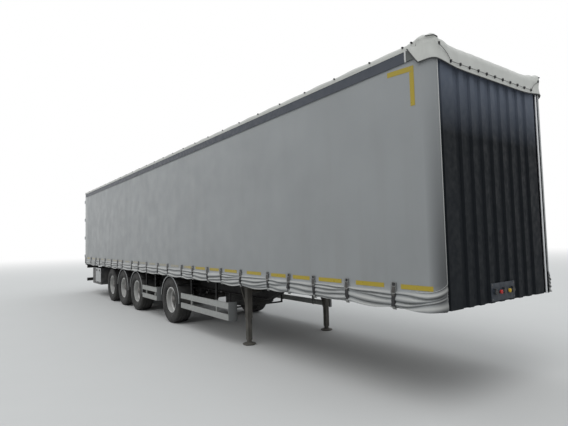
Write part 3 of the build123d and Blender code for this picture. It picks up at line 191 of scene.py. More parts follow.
class Finish(Nodes):
    """A material with one principled surface, worked out from the place on the piece."""

    def __init__(self, name, roughness, metallic=0.0):
        self.made = bpy.data.materials.new(name)
        super().__init__(self.made, emptied=False)
        self.surface = self.tree.nodes["Principled BSDF"].inputs
        self.surface["Roughness"].default_value = roughness
        self.surface["Metallic"].default_value = metallic
        self.place = self.add("TexCoord").outputs["Object"]

    def axis(self, name):
        """The place along one axis of the piece."""
        return self.add("SeparateXYZ", {"Vector": self.place}).outputs[name]

    def beyond(self, name, start):
        """1 where the place along an axis is past a value."""
        return self.worked("GREATER_THAN", self.axis(name), start)

    def noise(self, scale, detail=4.0, stretch=(1, 1, 1)):
        """Cloudy values from 0 to 1; stretch draws them out along an axis where it is small."""
        spread = self.add("Mapping", {"Vector": self.place, "Scale": stretch}).outputs[0]
        return self.add("TexNoise", {"Vector": spread, "Scale": scale, "Detail": detail}).outputs["Fac"]

    def waves(self, scale, direction):
        """Even waves along an axis."""
        wave = self.add("TexWave", {"Vector": self.place, "Scale": scale}, bands_direction=direction)
        return wave.outputs["Fac"]

    def mixed(self, share, first, second):
        """A colour between two, which may be values or outputs."""
        first, second = (c if isinstance(c, bpy.types.NodeSocket) else (*c, 1) for c in (first, second))
        return self.add("Mix", {0: share, 6: first, 7: second}, data_type="RGBA").outputs[2]

    def drive(self, name, output):
        """Lets an output set one of the surface's values."""
        self.tree.links.new(output, self.surface[name])

    def cover(self, share, colour):
        """Lays a colour over what the surface has, where share is 1."""
        base = self.surface["Base Color"].links[0].from_socket
        self.drive("Base Color", self.mixed(share, base, colour))

    def uneven(self, low, high, scale, detail=4.0):
        """Values that drift between two."""
        return self.ranged(self.noise(scale, detail), 0.3, 0.7, low, high)

    def patches(self, scale, detail, start, end, most=1.0):
        """Patches of up to a highest value, with bare places between them."""
        return self.ranged(self.noise(scale, detail), start, end, 0.0, most)

    def raised(self, height, strength, depth):
        """Bumps the surface by a height from 0 to 1 that stands for depth in metres."""
        bump = self.add("Bump", {"Height": height, "Strength": strength, "Distance": depth})
        self.drive("Normal", bump.outputs[0])


def shades(colour, spread):
    """A darker and a lighter shade of a colour."""
    return [tuple(c * share for c in colour) for share in (1 - spread, 1 + spread)]


def painted(name, colour, roughness=0.45, mottle=0.12, dust=0.35, dust_top=1.3, metallic=0.0,
            grain=90.0, stretch=(1, 1, 1), shine=0.5):
    """Paint or metal with uneven colour, dust that thickens towards the ground, and fine grain."""
    paint = Finish(name, roughness, metallic)
    paint.surface["Specular IOR Level"].default_value = shine
    base = paint.mixed(paint.noise(2.2, 6.0), *shades(colour, mottle))
    low_down = paint.ranged(paint.axis("Z"), DUST_HEIGHT, dust_top, 1.0, 0.25)
    dusty = paint.worked("MULTIPLY", low_down, paint.patches(7.0, 8.0, 0.35, 0.75, dust))
    paint.drive("Base Color", paint.mixed(dusty, base, DUST))
    paint.drive("Roughness", paint.uneven(roughness - 0.08, min(1.0, roughness + 0.2), 14.0, 5.0))
    paint.raised(paint.noise(grain, 3.0, stretch), 0.35, GRAIN_DEPTH)
    return paint


def coat(finish, *names):
    """Puts a finish on CAD nodes."""
    for name in names:
        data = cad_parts[name].data
        data.materials.clear()
        data.materials.append(finish.made)


frame_paint = painted("frame_paint", (0.009, 0.0095, 0.01), 0.6, dust=0.1, shine=0.3)
greased_steel = painted("greased_steel", (0.2, 0.19, 0.18), 0.35, mottle=0.4, dust=0.1, metallic=0.8)
coat(frame_paint, "main_beams", "neck_beams", "cross_members", "suspension_hangers",
     "spare_wheel_carrier", "mudguard_stays", "underrun_bar")
coat(greased_steel, "coupling_plate", "kingpin")


# Running gear: black cast arms and axles with road dust on them, rubber air springs,
# damper tubes, and brake chambers, all bolted together.
axle_paint = painted("axle_paint", (0.014, 0.014, 0.015), 0.6, dust=0.3)
damper_paint = painted("damper_paint", (0.05, 0.052, 0.06), 0.35, dust=0.4)
bellows_rubber = painted("bellows_rubber", (0.018, 0.018, 0.019), 0.75, dust=0.3, grain=160)
coat(axle_paint, "axles", "trailing_arms", "brake_chambers")
coat(damper_paint, "shock_absorbers")
coat(bellows_rubber, "air_springs")


# Wheels: single tyres with four grooves in the tread on steel rims dished deep into the
# barrel, silver under a film of dust, with brake dust and painted shade over the disc, held by
# ten nuts round a greased hub cap.
WHEELS = [(number, side) for number in (1, 2, 3, 4) for side in ("left", "right")]
OUTER_GROOVES = (0.112, 0.04)
GROOVE_HALF = 0.0065
GROOVE_DEPTH = 0.013
GROOVE_EDGES = (0.002, 0.0015)
CROWN_DROP = 0.004
TREAD_HALF = 0.15
BLOCK_DEPTH = 0.0085
BLOCK_RADII = (0.495, 0.53)
TYRE_STEPS = 180
SIDEWALL_RIBS = 900.0
RIM_SILVER = (0.6, 0.6, 0.585)
RIM_DULL = (0.22, 0.21, 0.19)
BRAKE_DUST_AND_SHADE = (0.03, 0.028, 0.026)
DISC_DUST_AND_SHADE_RADII = (0.246, 0.274)
NUT_CIRCLE = 0.1675
NUT_COUNT = 10
NUT_SIZE = (0.018, 0.026)
NUT_SEAT = 0.0145
WASHER_THICK = 0.0015
VALVE_PLACE = (0.21 * math.cos(0.35), 0, 0)


def joined(shapes):
    """Several shapes as one; a shape is an array of points and a list of faces."""
    points, faces, start = [], [], 0
    for corners, loops in shapes:
        points.append(np.asarray(corners, float))
        faces += [[i + start for i in loop] for loop in loops]
        start += len(corners)
    return np.vstack(points), faces


def moved(shape, matrix):
    """A shape turned and shifted by a 4 x 4 matrix, its faces kept outward if it mirrors."""
    m = np.array(matrix, float)
    points = np.asarray(shape[0], float) @ m[:3, :3].T + m[:3, 3]
    faces = shape[1] if np.linalg.det(m[:3, :3]) > 0 else [loop[::-1] for loop in shape[1]]
    return points, faces


def set_at(shape, place, turn=Matrix.Identity(4)):
    """A shape turned, and then shifted to a place."""
    return moved(shape, Matrix.Translation(place) @ turn)


def turned(profile, steps):
    """A profile of (along, radius), listed from its foot outward, turned about the Y axis."""
    angles = np.arange(steps) * 2 * math.pi / steps
    rings = [[(r * math.cos(a), y, r * math.sin(a)) for y, r in reversed(profile)] for a in angles]
    width = len(profile)
    faces = []
    for i in range(steps):
        a, b = i * width, (i + 1) % steps * width
        faces += [[a + k, a + k + 1, b + k + 1, b + k] for k in range(width - 1)]
    return np.array(rings).reshape(-1, 3), faces


def tyre_profile(radius, width):
    """The section as (out, radius), from the outer bead over the tread to the inner bead."""
    half = width / 2
    outer, inner = GROOVE_EDGES
    section = [
        (0.139, 0.2865), (0.140, 0.300), (0.147, 0.3045), (0.150, 0.312), (0.1565, 0.317),
        (0.168, 0.330), (0.180, 0.352), (0.1885, 0.378), (half, 0.405), (half - 0.0005, 0.43),
        (half - 0.004, 0.455), (half - 0.0075, 0.472), (half - 0.007, 0.478), (half - 0.0115, 0.486),
        (0.1775, 0.5), (0.172, 0.512), (0.1655, 0.521), (0.157, 0.5265),
    ]
    for groove in OUTER_GROOVES:
        for out, deep in ((GROOVE_HALF + outer, 0), (GROOVE_HALF - inner, GROOVE_DEPTH),
                          (-GROOVE_HALF + inner, GROOVE_DEPTH), (-GROOVE_HALF - outer, 0)):
            crown = radius - CROWN_DROP * ((groove + out) / TREAD_HALF) ** 2
            section.append((groove + out, crown - deep))
    return section + [(-out, r) for out, r in reversed(section)]


def tyre_shape(radius, width):
    """A tyre about the Y axis, with the edge of its tread cut into blocks."""
    profile = tyre_profile(radius, width)
    points, faces = turned(profile, TYRE_STEPS)
    rings = points.reshape(TYRE_STEPS, len(profile), 3)
    out = np.abs(rings[0, :, 1])
    r = np.linalg.norm(rings[0][:, [0, 2]], axis=1)
    shoulder = (out > TREAD_HALF) & (r > BLOCK_RADII[0]) & (r < BLOCK_RADII[1])
    blocks = np.where(shoulder, BLOCK_DEPTH, 0.0)
    for i in range(0, TYRE_STEPS, 3):
        rings[i] *= np.where(np.arange(3) == 1, 1.0, (1 - blocks / r)[:, None])
    return rings.reshape(-1, 3), faces


def rubber(name, colour, dusty):
    """Dull tyre rubber, brown-grey with dust, with fine rings round its sidewall."""
    tyre = Finish(name, 0.8)
    tyre.drive("Base Color", tyre.mixed(tyre.patches(5.0, 8.0, 0.35, 0.7, 0.4), colour, dusty))
    tyre.drive("Roughness", tyre.uneven(0.68, 0.95, 30.0))
    flat = tyre.add("CombineXYZ", {"X": tyre.axis("X"), "Z": tyre.axis("Z")}).outputs[0]
    out = tyre.add("VectorMath", {0: flat}, operation="LENGTH").outputs["Value"]
    rings = tyre.worked("SINE", tyre.worked("MULTIPLY", out, SIDEWALL_RIBS))
    tyre.raised(tyre.worked("ADD", rings, tyre.noise(160.0)), 0.3, 0.0012)
    return tyre


def rim_shades(name, centre, plane):
    """Silver wheel paint, with brake dust and painted shade that blacken the disc; plane is 1 on the axes it
    lies in.
    """
    rim = Finish(name, 0.38)
    silver = rim.mixed(rim.patches(9.0, 7.0, 0.4, 0.75, 0.4), RIM_SILVER, RIM_DULL)
    from_centre = rim.add("VectorMath", {0: rim.place, 1: centre}, operation="SUBTRACT").outputs[0]
    flat = rim.add("VectorMath", {0: from_centre, 1: plane}, operation="MULTIPLY").outputs[0]
    out = rim.add("VectorMath", {0: flat}, operation="LENGTH").outputs["Value"]
    # Brake dust and painted shade: dark over the disc and the deep barrel beside it.
    share = rim.worked("MULTIPLY", rim.ranged(out, *DISC_DUST_AND_SHADE_RADII, 1.0, 0.0), rim.uneven(0.72, 0.96, 5.0, 5.0))
    rim.drive("Base Color", rim.mixed(share, silver, BRAKE_DUST_AND_SHADE))
    rim.drive("Metallic", rim.ranged(share, 0.0, 1.0, 0.4, 0.0))
    duller = rim.ranged(share, 0.0, 1.0, 0.0, 0.2)
    rim.drive("Roughness", rim.worked("ADD", rim.uneven(0.3, 0.6, 22.0, 5.0), duller))
    rim.raised(rim.noise(120.0), 0.25, 0.0006)
    return rim


def hull(points):
    """The closed form that a few points span."""
    shell = bmesh.new()
    for point in points:
        shell.verts.new(point)
    bmesh.ops.convex_hull(shell, input=shell.verts)
    bmesh.ops.delete(shell, geom=[v for v in shell.verts if not v.link_faces], context="VERTS")
    shell.verts.index_update()
    shape = np.array([v.co for v in shell.verts]), [[v.index for v in f.verts] for f in shell.faces]
    shell.free()
    return shape


def standing(shape, places, outward):
    """Copies of a shape modelled along +Y, each standing out from a point on a face."""
    turn = Vector((0, 1, 0)).rotation_difference(Vector(outward)).to_matrix().to_4x4()
    return joined([set_at(shape, place, turn) for place in places])


def bolt_heads(places, outward, radius, height):
    """Six-sided heads with a washer."""
    head = []
    for a in range(6):
        turn = a * math.pi / 3
        head += [(radius * math.cos(turn), WASHER_THICK, radius * math.sin(turn)),
                 (0.92 * radius * math.cos(turn), height, 0.92 * radius * math.sin(turn))]
    washer = [(1.35 * radius * math.cos(a * math.pi / 6), y, 1.35 * radius * math.sin(a * math.pi / 6))
              for a in range(12) for y in (0, WASHER_THICK)]
    return standing(joined([hull(head), hull(washer)]), places, outward)


def wheel_nuts():
    """Ten nuts with their studs and washers, and the hub cap with its rim, facing +Y."""
    nut = bolt_heads([(0, 0, 0)], (0, 1, 0), *NUT_SIZE)
    stud = turned([(0.036, 0.0005), (0.047, 0.0005), (0.0485, 0.006), (0.047, 0.01), (0.036, 0.01)], 12)
    shapes = []
    for i in range(NUT_COUNT):
        turn = 2 * math.pi * (i + 0.5) / NUT_COUNT
        x, z = NUT_CIRCLE * math.cos(turn), NUT_CIRCLE * math.sin(turn)
        shapes += [set_at(nut, (x, NUT_SEAT, z)), set_at(stud, (x, 0, z))]
    cap = turned([
        (0.118, 0.0005), (0.118, 0.045), (0.115, 0.058), (0.108, 0.066), (0.1, 0.068),
        (0.1, 0.078), (0.0965, 0.0815), (0.0955, 0.085),
    ], 48)
    valve = turned([(0.02, 0.004), (0.055, 0.004), (0.06, 0.0025), (0.06, 0.0005)], 10)
    return joined(shapes + [cap, set_at(valve, VALVE_PLACE)])


def middle_of(node):
    """The middle of a node's box."""
    low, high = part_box(node)
    return (low + high) / 2


def wheel_frame(node, side):
    """A wheel's own axes: its centre, with Y outward."""
    outward = Matrix.Identity(4) if side == "left" else Matrix.Rotation(math.pi, 4, "Z")
    return Matrix.Translation(middle_of(node)) @ outward


def piece(name, shape, finish, body="chassis", sharp=35.0, place=None, stands_for=None):
    """A new piece that rides on a body, shaded smooth but for edges sharper than an angle."""
    mesh = bpy.data.meshes.new(name)
    mesh.from_pydata([tuple(p) for p in shape[0]], [], shape[1])
    mesh.update()
    mesh.shade_smooth()
    mesh.set_sharp_from_angle(angle=math.radians(sharp))
    mesh.materials.append(finish.made)
    made = placed(name, mesh)
    if place:
        made.matrix_world = place
    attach(made, body)
    if stands_for:
        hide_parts(stands_for)
    return made


tyre_rubber = rubber("tyre_rubber", (0.013, 0.013, 0.0135), (0.08, 0.078, 0.07))
nut_steel = painted("nut_steel", (0.13, 0.125, 0.12), 0.45, mottle=0.3, dust=0.2, metallic=0.6)
tyre_low, tyre_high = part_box("tyre_1_right")
tyre_mesh = tyre_shape((tyre_high.x - tyre_low.x) / 2, tyre_high.y - tyre_low.y)
nut_mesh = wheel_nuts()
for number, side in WHEELS:
    label = f"{number}_{side}"
    place = wheel_frame(f"tyre_{label}", side)
    piece(f"treaded_tyre_{label}", tyre_mesh, tyre_rubber, f"wheel_{label}",
          place=place, stands_for=f"tyre_{label}")
    piece(f"wheel_nuts_{label}", nut_mesh, nut_steel, f"wheel_{label}", place=place)
    coat(rim_shades(f"rim_silver_{label}", tuple(place.translation), (1, 0, 1)), f"rim_{label}")


# The spare wheel: the same tyre on a silver rim, laid flat between the beams in a carrier of
# welded angle.
UPRIGHT = Matrix.Rotation(math.pi / 2, 4, "X")
spare_place = wheel_frame("spare_tyre", "left") @ UPRIGHT
piece("treaded_spare_tyre", tyre_mesh, tyre_rubber, place=spare_place, stands_for="spare_tyre")
coat(rim_shades("spare_rim_silver", tuple(spare_place.translation), (1, 1, 0)), "spare_rim")


# Mudguards: half-round black plastic shells over the first three axles, carried by steel
# tubes. A light grey band is pressed over the outer edge of each.
GUARDED = WHEELS[:6]
BAND_HALF = (0.0125, 0.006)
BAND_INSET = 0.002
BAND_PROUD = 0.003
BAND_TURN = (-3.5, 171.5)
BAND_STEPS = 60
BAND_SIDES = 10
black_plastic = painted("black_plastic", (0.02, 0.021, 0.022), 0.6, dust=0.3)
edge_plastic = painted("edge_plastic", (0.3, 0.31, 0.31), 0.5, dust=0.3)
coat(black_plastic, "mudguards")


def skinned(rings):
    """Rings of points with faces between them and over both ends."""
    sides = len(rings[0])
    faces = []
    for i in range(len(rings) - 1):
        for k in range(sides):
            j = (k + 1) % sides
            faces.append([i * sides + k, i * sides + j, (i + 1) * sides + j, (i + 1) * sides + k])
    last = (len(rings) - 1) * sides
    faces += [list(range(sides))[::-1], [last + k for k in range(sides)]]
    return np.array(rings).reshape(-1, 3), faces


def ring(centre, first, second, sides):
    """Points round a centre; the two directions give the ring's half sizes."""
    turn = np.arange(sides) * 2 * math.pi / sides
    return centre + np.cos(turn)[:, None] * first + np.sin(turn)[:, None] * second


def guard_band(number, side):
    """The band over a mudguard's outer edge, from low in front to behind the tyre."""
    centre = middle_of(f"tyre_{number}_{side}")
    y = guard_high.y - BAND_INSET if side == "left" else guard_low.y + BAND_INSET
    rings = []
    for a in np.radians(np.linspace(*BAND_TURN, BAND_STEPS)):
        way = np.array((math.cos(a), 0, math.sin(a)))
        middle = np.array([centre.x, y, centre.z]) + band_radius * way
        rings.append(ring(middle, BAND_HALF[0] * way, np.array((0, BAND_HALF[1], 0)), BAND_SIDES))
    return skinned(rings)


guard_low, guard_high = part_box("mudguards")
first_low, first_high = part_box("tyre_1_left")
band_radius = guard_high.x - (first_low.x + first_high.x) / 2 - BAND_HALF[0] + BAND_PROUD
bands = [guard_band(number, side) for number, side in GUARDED]
piece("mudguard_edges", joined(bands), edge_plastic)


# Floor and side rails: brown coated plywood boards let into painted steel rails, which run the
# length of each side and hold the hooks of the curtain straps.
plywood = painted("plywood", (0.13, 0.075, 0.045), 0.55, mottle=0.3, dust=0.25, stretch=(0.15, 1, 1))
coat(plywood, "floor_boards")
coat(frame_paint, "side_rails")


# Front wall and body frame: painted sheet with pressed ribs between rounded posts, darkened
# by painted shade on all but its top. The rear frame, cant rails and sliding pillars are painted
# slate, and the roof bows and curtain poles are bare aluminium.
FRONT_WALL_SHADE = (0.006, 0.0075, 0.009)
FRONT_SHADE_FADE = (3.0, 3.75)
FRONT_SHADE_SHARE = 0.97
aluminium = painted("aluminium", (0.55, 0.56, 0.57), 0.35, mottle=0.08, dust=0.1, metallic=0.9,
                    grain=240, stretch=(0.03, 1, 1))
front_paint = painted("front_paint", (0.115, 0.134, 0.172), 0.5, dust=0.03, shine=0.08)
# Painted shade: the front wall and corner posts go dark below their top, fading out upwards.
front_paint.cover(front_paint.ranged(front_paint.axis("Z"), *FRONT_SHADE_FADE, FRONT_SHADE_SHARE, 0.0), FRONT_WALL_SHADE)
wall_paint = painted("wall_paint", (0.024, 0.03, 0.04), 0.5, dust=0.04, dust_top=2.5, shine=0.3)
rail_paint = painted("rail_paint", (0.03, 0.038, 0.053), 0.4, dust=0.08, dust_top=2.0)
coat(front_paint, "front_wall", "front_corner_posts")
coat(wall_paint, "rear_frame", "side_pillars")
coat(rail_paint, "cant_rails")
coat(aluminium, "roof_bows", "curtain_poles")


# Side curtains: grey coated cloth that hangs from the cant rail, goes round the rounded
# front corner to a pole, and is drawn down by straps. The crumpled skirt below its seam
# hangs over the side rail.
CLOTH_IN = 0.0015
SEAM_Z = 1.300
SEAM_RISE = 0.09
SEAM_LEAD = 0.06
SEAM_CURVE = 2.6
SKIRT_FOOT = 1.122
STRAP_X = (
    -8.105, -7.135, -6.34, -5.77, -5.00, -4.16, -3.44, -2.90, -1.95, -1.34, -0.65, 0.20,
    0.87, 1.72, 2.31, 3.01, 3.58, 4.32, 5.17, 5.74, 6.31, 6.97, 7.72,
)
SKIRT_ROWS = 54
FOLD_DEPTH = 0.031
BODY_ROWS = 24
COLUMN_STEPS = (0.009, 0.032)
CORNER_STEP = 0.016
DOOR_REACH = 1.45
CALM_FOLDS = 0.35
CALM_TOP = 3.72
CALM_REACH = 0.5
CORNER_REACH = 0.4
WAVE_HEIGHTS = (0.0022, 0.0016, 0.0012)
STRAP_PULL = 0.0022
PULL_ALONG = 0.055
PULL_UP = 0.16
FULL_BAY = 0.7
FOLD_COUNT = (3, 6)
FOLD_HEIGHT = (0.12, 1.0)
TOP_FOLD_HEIGHT = (0.35, 0.6)
FOLD_STAND = (0.5, 0.95)
SKIRT_SAG = (0.004, 0.034)
SKIRT_BELLY = 0.006
CREASE_RUN = 1.08
CREASE_LEAN = 0.12
CREASE_WAVE = 0.022
CREASE_GAP = 0.004
FINE_PART = (0.03, 0.09)
FOLD_ROUNDING = (0.15, 0.7, 0.15)
# How dark the painted shade under the skirt's folds is, and how light the painted highlight on them.
CREASE_SHADE_SHARE = 0.85
FOLD_HIGHLIGHT_SHARE = 0.75
CURTAIN_SEEDS = {"right": 3, "left": 8}
ACROSS = Matrix.Diagonal((1, -1, 1, 1))

curtain_low, curtain_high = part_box("curtain_right")
corner_radius = curtain_high.y - curtain_low.y - CLOTH_IN
corner_x = curtain_high.x - CLOTH_IN - corner_radius
corner_y = -curtain_high.y
curtain_rear = curtain_low.x
straight = corner_x - curtain_rear
curtain_length = straight + corner_radius * math.pi / 2
curtain_top = curtain_high.z
strap_s = np.array(STRAP_X) - curtain_rear


def curtain_line(s):
    """Places (x, y) and outward directions along the right curtain, s from its rear edge."""
    s = np.asarray(s, float)
    turn = np.clip((s - straight) / corner_radius, 0, math.pi / 2)
    x = curtain_rear + np.minimum(s, straight) + corner_radius * np.sin(turn)
    y = -(corner_y + corner_radius * np.cos(turn))
    return np.stack([x, y], -1), np.stack([np.sin(turn), -np.cos(turn)], -1)


def seam_height(s):
    """The seam above the skirt, which sweeps up round the front corner."""
    turn = (s - straight + SEAM_LEAD) / (curtain_length - straight + SEAM_LEAD)
    return SEAM_Z + SEAM_RISE * np.clip(turn, 0, 1) ** SEAM_CURVE


def billow(s, z):
    """How far the drawn cloth stands off its line: long soft waves, and creases above each strap."""
    low_part = np.clip((z - SEAM_Z) / CALM_REACH, 0, 1)
    high_part = np.clip((CALM_TOP - z) / CALM_REACH, 0, 1)
    round_corner = np.clip((straight - s) / CORNER_REACH, 0, 1)
    long, short, ripple = WAVE_HEIGHTS
    wave = long * np.sin(s * 2.9 + 0.7 * np.sin(z * 1.3)) + short * np.sin(s * 6.1 + 1.9 * z)
    wave += ripple * np.sin(s * 13.7 - 2.2 * z + 1.0)
    pull = sum(np.exp(-((s - k) / PULL_ALONG) ** 2) for k in strap_s)
    return wave * low_part * high_part * round_corner - STRAP_PULL * pull * np.exp(-(z - SEAM_Z) / PULL_UP)


def reached(value, whole):
    """How much of a whole a value has reached, from 0 to 1."""
    return min(1.0, max(0.0, value) / whole)


def skirt_bays(seed):
    """One row per bay between straps: its ends, the heights of its creases at both ends (as shares of
    the skirt), how far each fold stands out for its height, the sag of its foot, and a chance phase."""
    chance = np.random.default_rng(seed)
    holds = np.concatenate([[0.0], strap_s, [curtain_length]])
    bays = []
    for start, end in zip(holds[:-1], holds[1:]):
        reach = reached(end - start, FULL_BAY)
        count = chance.integers(*FOLD_COUNT)
        creases = []
        for _ in range(2):
            heights = chance.uniform(*FOLD_HEIGHT, count)
            heights[0] = chance.uniform(*TOP_FOLD_HEIGHT)
            creases.append(np.concatenate([[0], np.cumsum(heights) / heights.sum() * CREASE_RUN]))
        bays.append((start, end, np.array(creases).T, chance.uniform(*FOLD_STAND, count) * reach,
                     chance.uniform(*SKIRT_SAG) * reach, chance.uniform(0, 6)))
    return bays


def skirt_column(s, bays, rows):
    """Offsets outward, heights and painted shading (shade under a fold above 0, highlight below 0) down one
    column of the skirt.
    """
    start, end, creases, stands, sag, phase = next(b for b in bays if b[0] <= s <= b[1] + 1e-9)
    u = (s - start) / (end - start)
    free = math.sin(math.pi * u) ** 0.4 if 0 < u < 1 else 0.0
    bent = u + CREASE_LEAN * math.sin(2 * math.pi * u + phase) * free
    lines = creases[:, 0] + (creases[:, 1] - creases[:, 0]) * bent
    lines[1:-1] += CREASE_WAVE * np.sin(6.3 * u + phase + 2.1 * np.arange(len(lines) - 2)) * free
    lines = np.maximum.accumulate(lines + CREASE_GAP * np.arange(len(lines)))
    fold = np.clip(np.searchsorted(lines, rows, side="right") - 1, 0, len(stands) - 1)
    height = lines[fold + 1] - lines[fold]
    t = np.clip((rows - lines[fold]) / height, 0, 1)
    calm = CALM_FOLDS if end < DOOR_REACH + 0.1 else 1.0
    deep = np.minimum(FOLD_DEPTH, stands[fold] * height * (SEAM_Z - SKIRT_FOOT)) * calm * (0.3 + 0.7 * free)
    belly = np.sin(math.pi * t ** 1.5) ** 0.75
    offsets = deep * belly + SKIRT_BELLY * free * calm * np.sin(math.pi * rows)
    smooth = np.convolve(np.pad(offsets, 1, "edge"), FOLD_ROUNDING, "valid")
    smooth[0] = 0.0
    full = deep / (FOLD_DEPTH * calm)
    # Painted shade on the underside of each fold, where shade falls, and a painted highlight on its lit
    # front.
    under = np.clip((t - 0.74) / 0.26, 0, 1) * np.minimum(1, 1.8 * full)
    lit_fold = np.exp(-((t - 0.42) / 0.22) ** 2) * full
    foot = SKIRT_FOOT - (0.3 + 0.7 * math.sin(math.pi * u ** 1.3)) * sag * free
    seam = float(seam_height(s))
    return smooth, seam + (foot - seam) * rows, CREASE_SHADE_SHARE * under - FOLD_HIGHLIGHT_SHARE * lit_fold


def columns_along():
    """Places along the curtain, closer together by the straps and round the corner."""
    places, s = [], 0.0
    while s < curtain_length:
        places.append(s)
        away = reached(np.abs(strap_s - s).min() - FINE_PART[0], FINE_PART[1])
        step = COLUMN_STEPS[0] + (COLUMN_STEPS[1] - COLUMN_STEPS[0]) * away
        s += min(step, CORNER_STEP) if s > straight - 0.05 else step
    return np.array(places + [curtain_length])


def curtain_grid(seed):
    """Rows of points from the curtain's top to the foot of its skirt, and the painted shade and highlight on
    its folds.
    """
    columns = columns_along()
    line, outward = curtain_line(columns)
    bays = skirt_bays(seed)
    rows = np.linspace(0, 1, SKIRT_ROWS)
    share = np.linspace(0, 1, BODY_ROWS, endpoint=False) ** 0.5
    grid = np.zeros((BODY_ROWS + SKIRT_ROWS, len(columns), 3))
    fold_shading = np.zeros(grid.shape[:2])
    for i, s in enumerate(columns):
        body_z = curtain_top + (float(seam_height(s)) - curtain_top) * share
        skirt_out, skirt_z, fold_shading[BODY_ROWS:, i] = skirt_column(s, bays, rows)
        out = np.concatenate([billow(s, body_z), billow(s, skirt_z[:1]) + skirt_out])
        grid[:, i, :2] = line[i] + out[:, None] * outward[i]
        grid[:, i, 2] = np.concatenate([body_z, skirt_z])
    return grid, fold_shading


def grid_shape(grid):
    """A sheet from rows of points."""
    rows, columns = grid.shape[:2]
    i, j = np.meshgrid(np.arange(rows - 1), np.arange(columns - 1), indexing="ij")
    a = (i * columns + j).ravel()
    loops = np.stack([a, a + columns, a + columns + 1, a + 1], 1)
    return grid.reshape(-1, 3), loops.tolist()


def sided(shape, side, modelled="right"):
    """A shape on the side that it was modelled on, or its mirror image on the other."""
    return shape if side == modelled else moved(shape, ACROSS)


CLOTH_DUST = (0.17, 0.165, 0.15)
LOW_SHADE = (0.1, 0.1, 0.095)
# Painted shade at the curtain's front corner.
CORNER_SHADE = (0.03, 0.032, 0.034)
CORNER_SHADE_X = (8.17, 8.295)
CORNER_SHADE_Z = (1.5, 3.4)
CORNER_SHADE_TOP = 0.12
# Colours of the painted highlight on the folds and the painted shade under them.
FOLD_HIGHLIGHT = (0.42, 0.42, 0.4)
CREASE_SHADE = (0.02, 0.02, 0.018)
THREADS = 130.0
STREAK_Z = (1.0, 2.4)
LOW_Z = (1.3, 3.4)
LOW_SHARE = 0.14


def tarpaulin(name, colour, streaked, roughness=0.42, corner=0.0):
    """Coated cloth: a faint weave, uneven colour, rain streaks, painted shade under its folds and a painted
    highlight on them, and painted shade at the front corner.
    """
    cloth = Finish(name, roughness)
    height = cloth.axis("Z")
    base = cloth.mixed(cloth.patches(0.9, 7.0, 0.3, 0.7), *shades(colour, 0.05))
    streaks = cloth.ranged(cloth.noise(5.0, 6.0, (1, 1, 0.12)), 0.52, 0.8, 0.0, streaked)
    streaks = cloth.worked("MULTIPLY", streaks, cloth.ranged(height, *STREAK_Z, 1.0, 0.3))
    # Painted shade at the front corner: darker towards the front edge and less so higher up; corner sets how
    # dark.
    corner_shade_fade = cloth.ranged(height, *CORNER_SHADE_Z, corner, CORNER_SHADE_TOP * corner)
    corner_shade_share = cloth.worked("MULTIPLY", cloth.ranged(cloth.axis("X"), *CORNER_SHADE_X), corner_shade_fade)
    # Painted shading from the folds: shade under each fold and a highlight on its front.
    fold_shading = cloth.add("Attribute", attribute_name="fold_shading").outputs["Fac"]
    for share, shade in (
        (streaks, CLOTH_DUST),
        (cloth.ranged(height, *LOW_Z, LOW_SHARE, 0.0), LOW_SHADE),
        (corner_shade_share, CORNER_SHADE),
        (cloth.ranged(fold_shading, 0.0, -1.0), FOLD_HIGHLIGHT),
        (cloth.ranged(fold_shading, 0.0, 1.0), CREASE_SHADE),
    ):
        base = cloth.mixed(share, base, shade)
    cloth.drive("Base Color", base)
    cloth.drive("Roughness", cloth.uneven(roughness - 0.06, roughness + 0.14, 3.0, 6.0))
    cloth.surface["Sheen Weight"].default_value = 0.08
    cloth.surface["Specular IOR Level"].default_value = 0.4
    weave = cloth.worked("MAXIMUM", cloth.waves(THREADS, "X"), cloth.waves(THREADS, "Z"))
    cloth.raised(cloth.worked("ADD", weave, cloth.noise(8.0)), 0.12, 0.0006)
    return cloth


# corner sets the painted shade at the curtain's front corner.
curtain_cloth = tarpaulin("curtain_cloth", (0.256, 0.268, 0.272), 0.3, corner=0.92)
curtains = {}
for side, seed in CURTAIN_SEEDS.items():
    grid, fold_shading = curtain_grid(seed)
    cloth = piece(f"hung_curtain_{side}", sided(grid_shape(grid), side), curtain_cloth,
                  sharp=80.0, stands_for=f"curtain_{side}")
    cloth.data.attributes.new("fold_shading", "FLOAT", "POINT").data.foreach_set("value", fold_shading.ravel())
    curtains[side] = cloth


# Straps: each is a dark webbing band with a bright over-centre buckle, sewn above the
# seam and hooked under the side rail.
WEB_WIDTH = 0.055
WEB_THICK = 0.0024
WEB_RIBS = 90.0
TAIL_WIDTH = 0.9 * WEB_WIDTH
BUCKLE_TOP = 1.386
BUCKLE_FOOT = 1.268
BUCKLE_HALF = 0.029
WIRE_R = 0.0036
PIN_R = 0.004
HOOK = (0.04, 0.003)  # width and thickness
LEVER = (0.041, 0.003)  # width and thickness
STRAP_LEAN = 0.07
STRAP_BULGE = (0.013, 0.02)
TAIL_LENGTH = (0.05, 0.13)
TAIL_LEAN = 0.3
STRAP_SEEDS = {"right": 21, "left": 22}


def ribbon(path, width, thick, lean=0.0):
    """A flat band along a path of (out, z), its width across; lean shifts it sideways as it drops."""
    path = np.asarray(path, float)
    ahead = np.gradient(path, axis=0)
    ahead /= np.linalg.norm(ahead, axis=1)[:, None]
    faces_out = np.stack([-ahead[:, 1], ahead[:, 0]], 1)
    shift = lean * (path[0, 1] - path[:, 1])
    rings = []
    for (out, z), (no, nz), move in zip(path, faces_out, shift):
        rings.append([(across * width / 2 + move, out + off * thick / 2 * no, z + off * thick / 2 * nz)
                      for across, off in ((-1, -1), (1, -1), (1, 1), (-1, 1))])
    return skinned(rings)


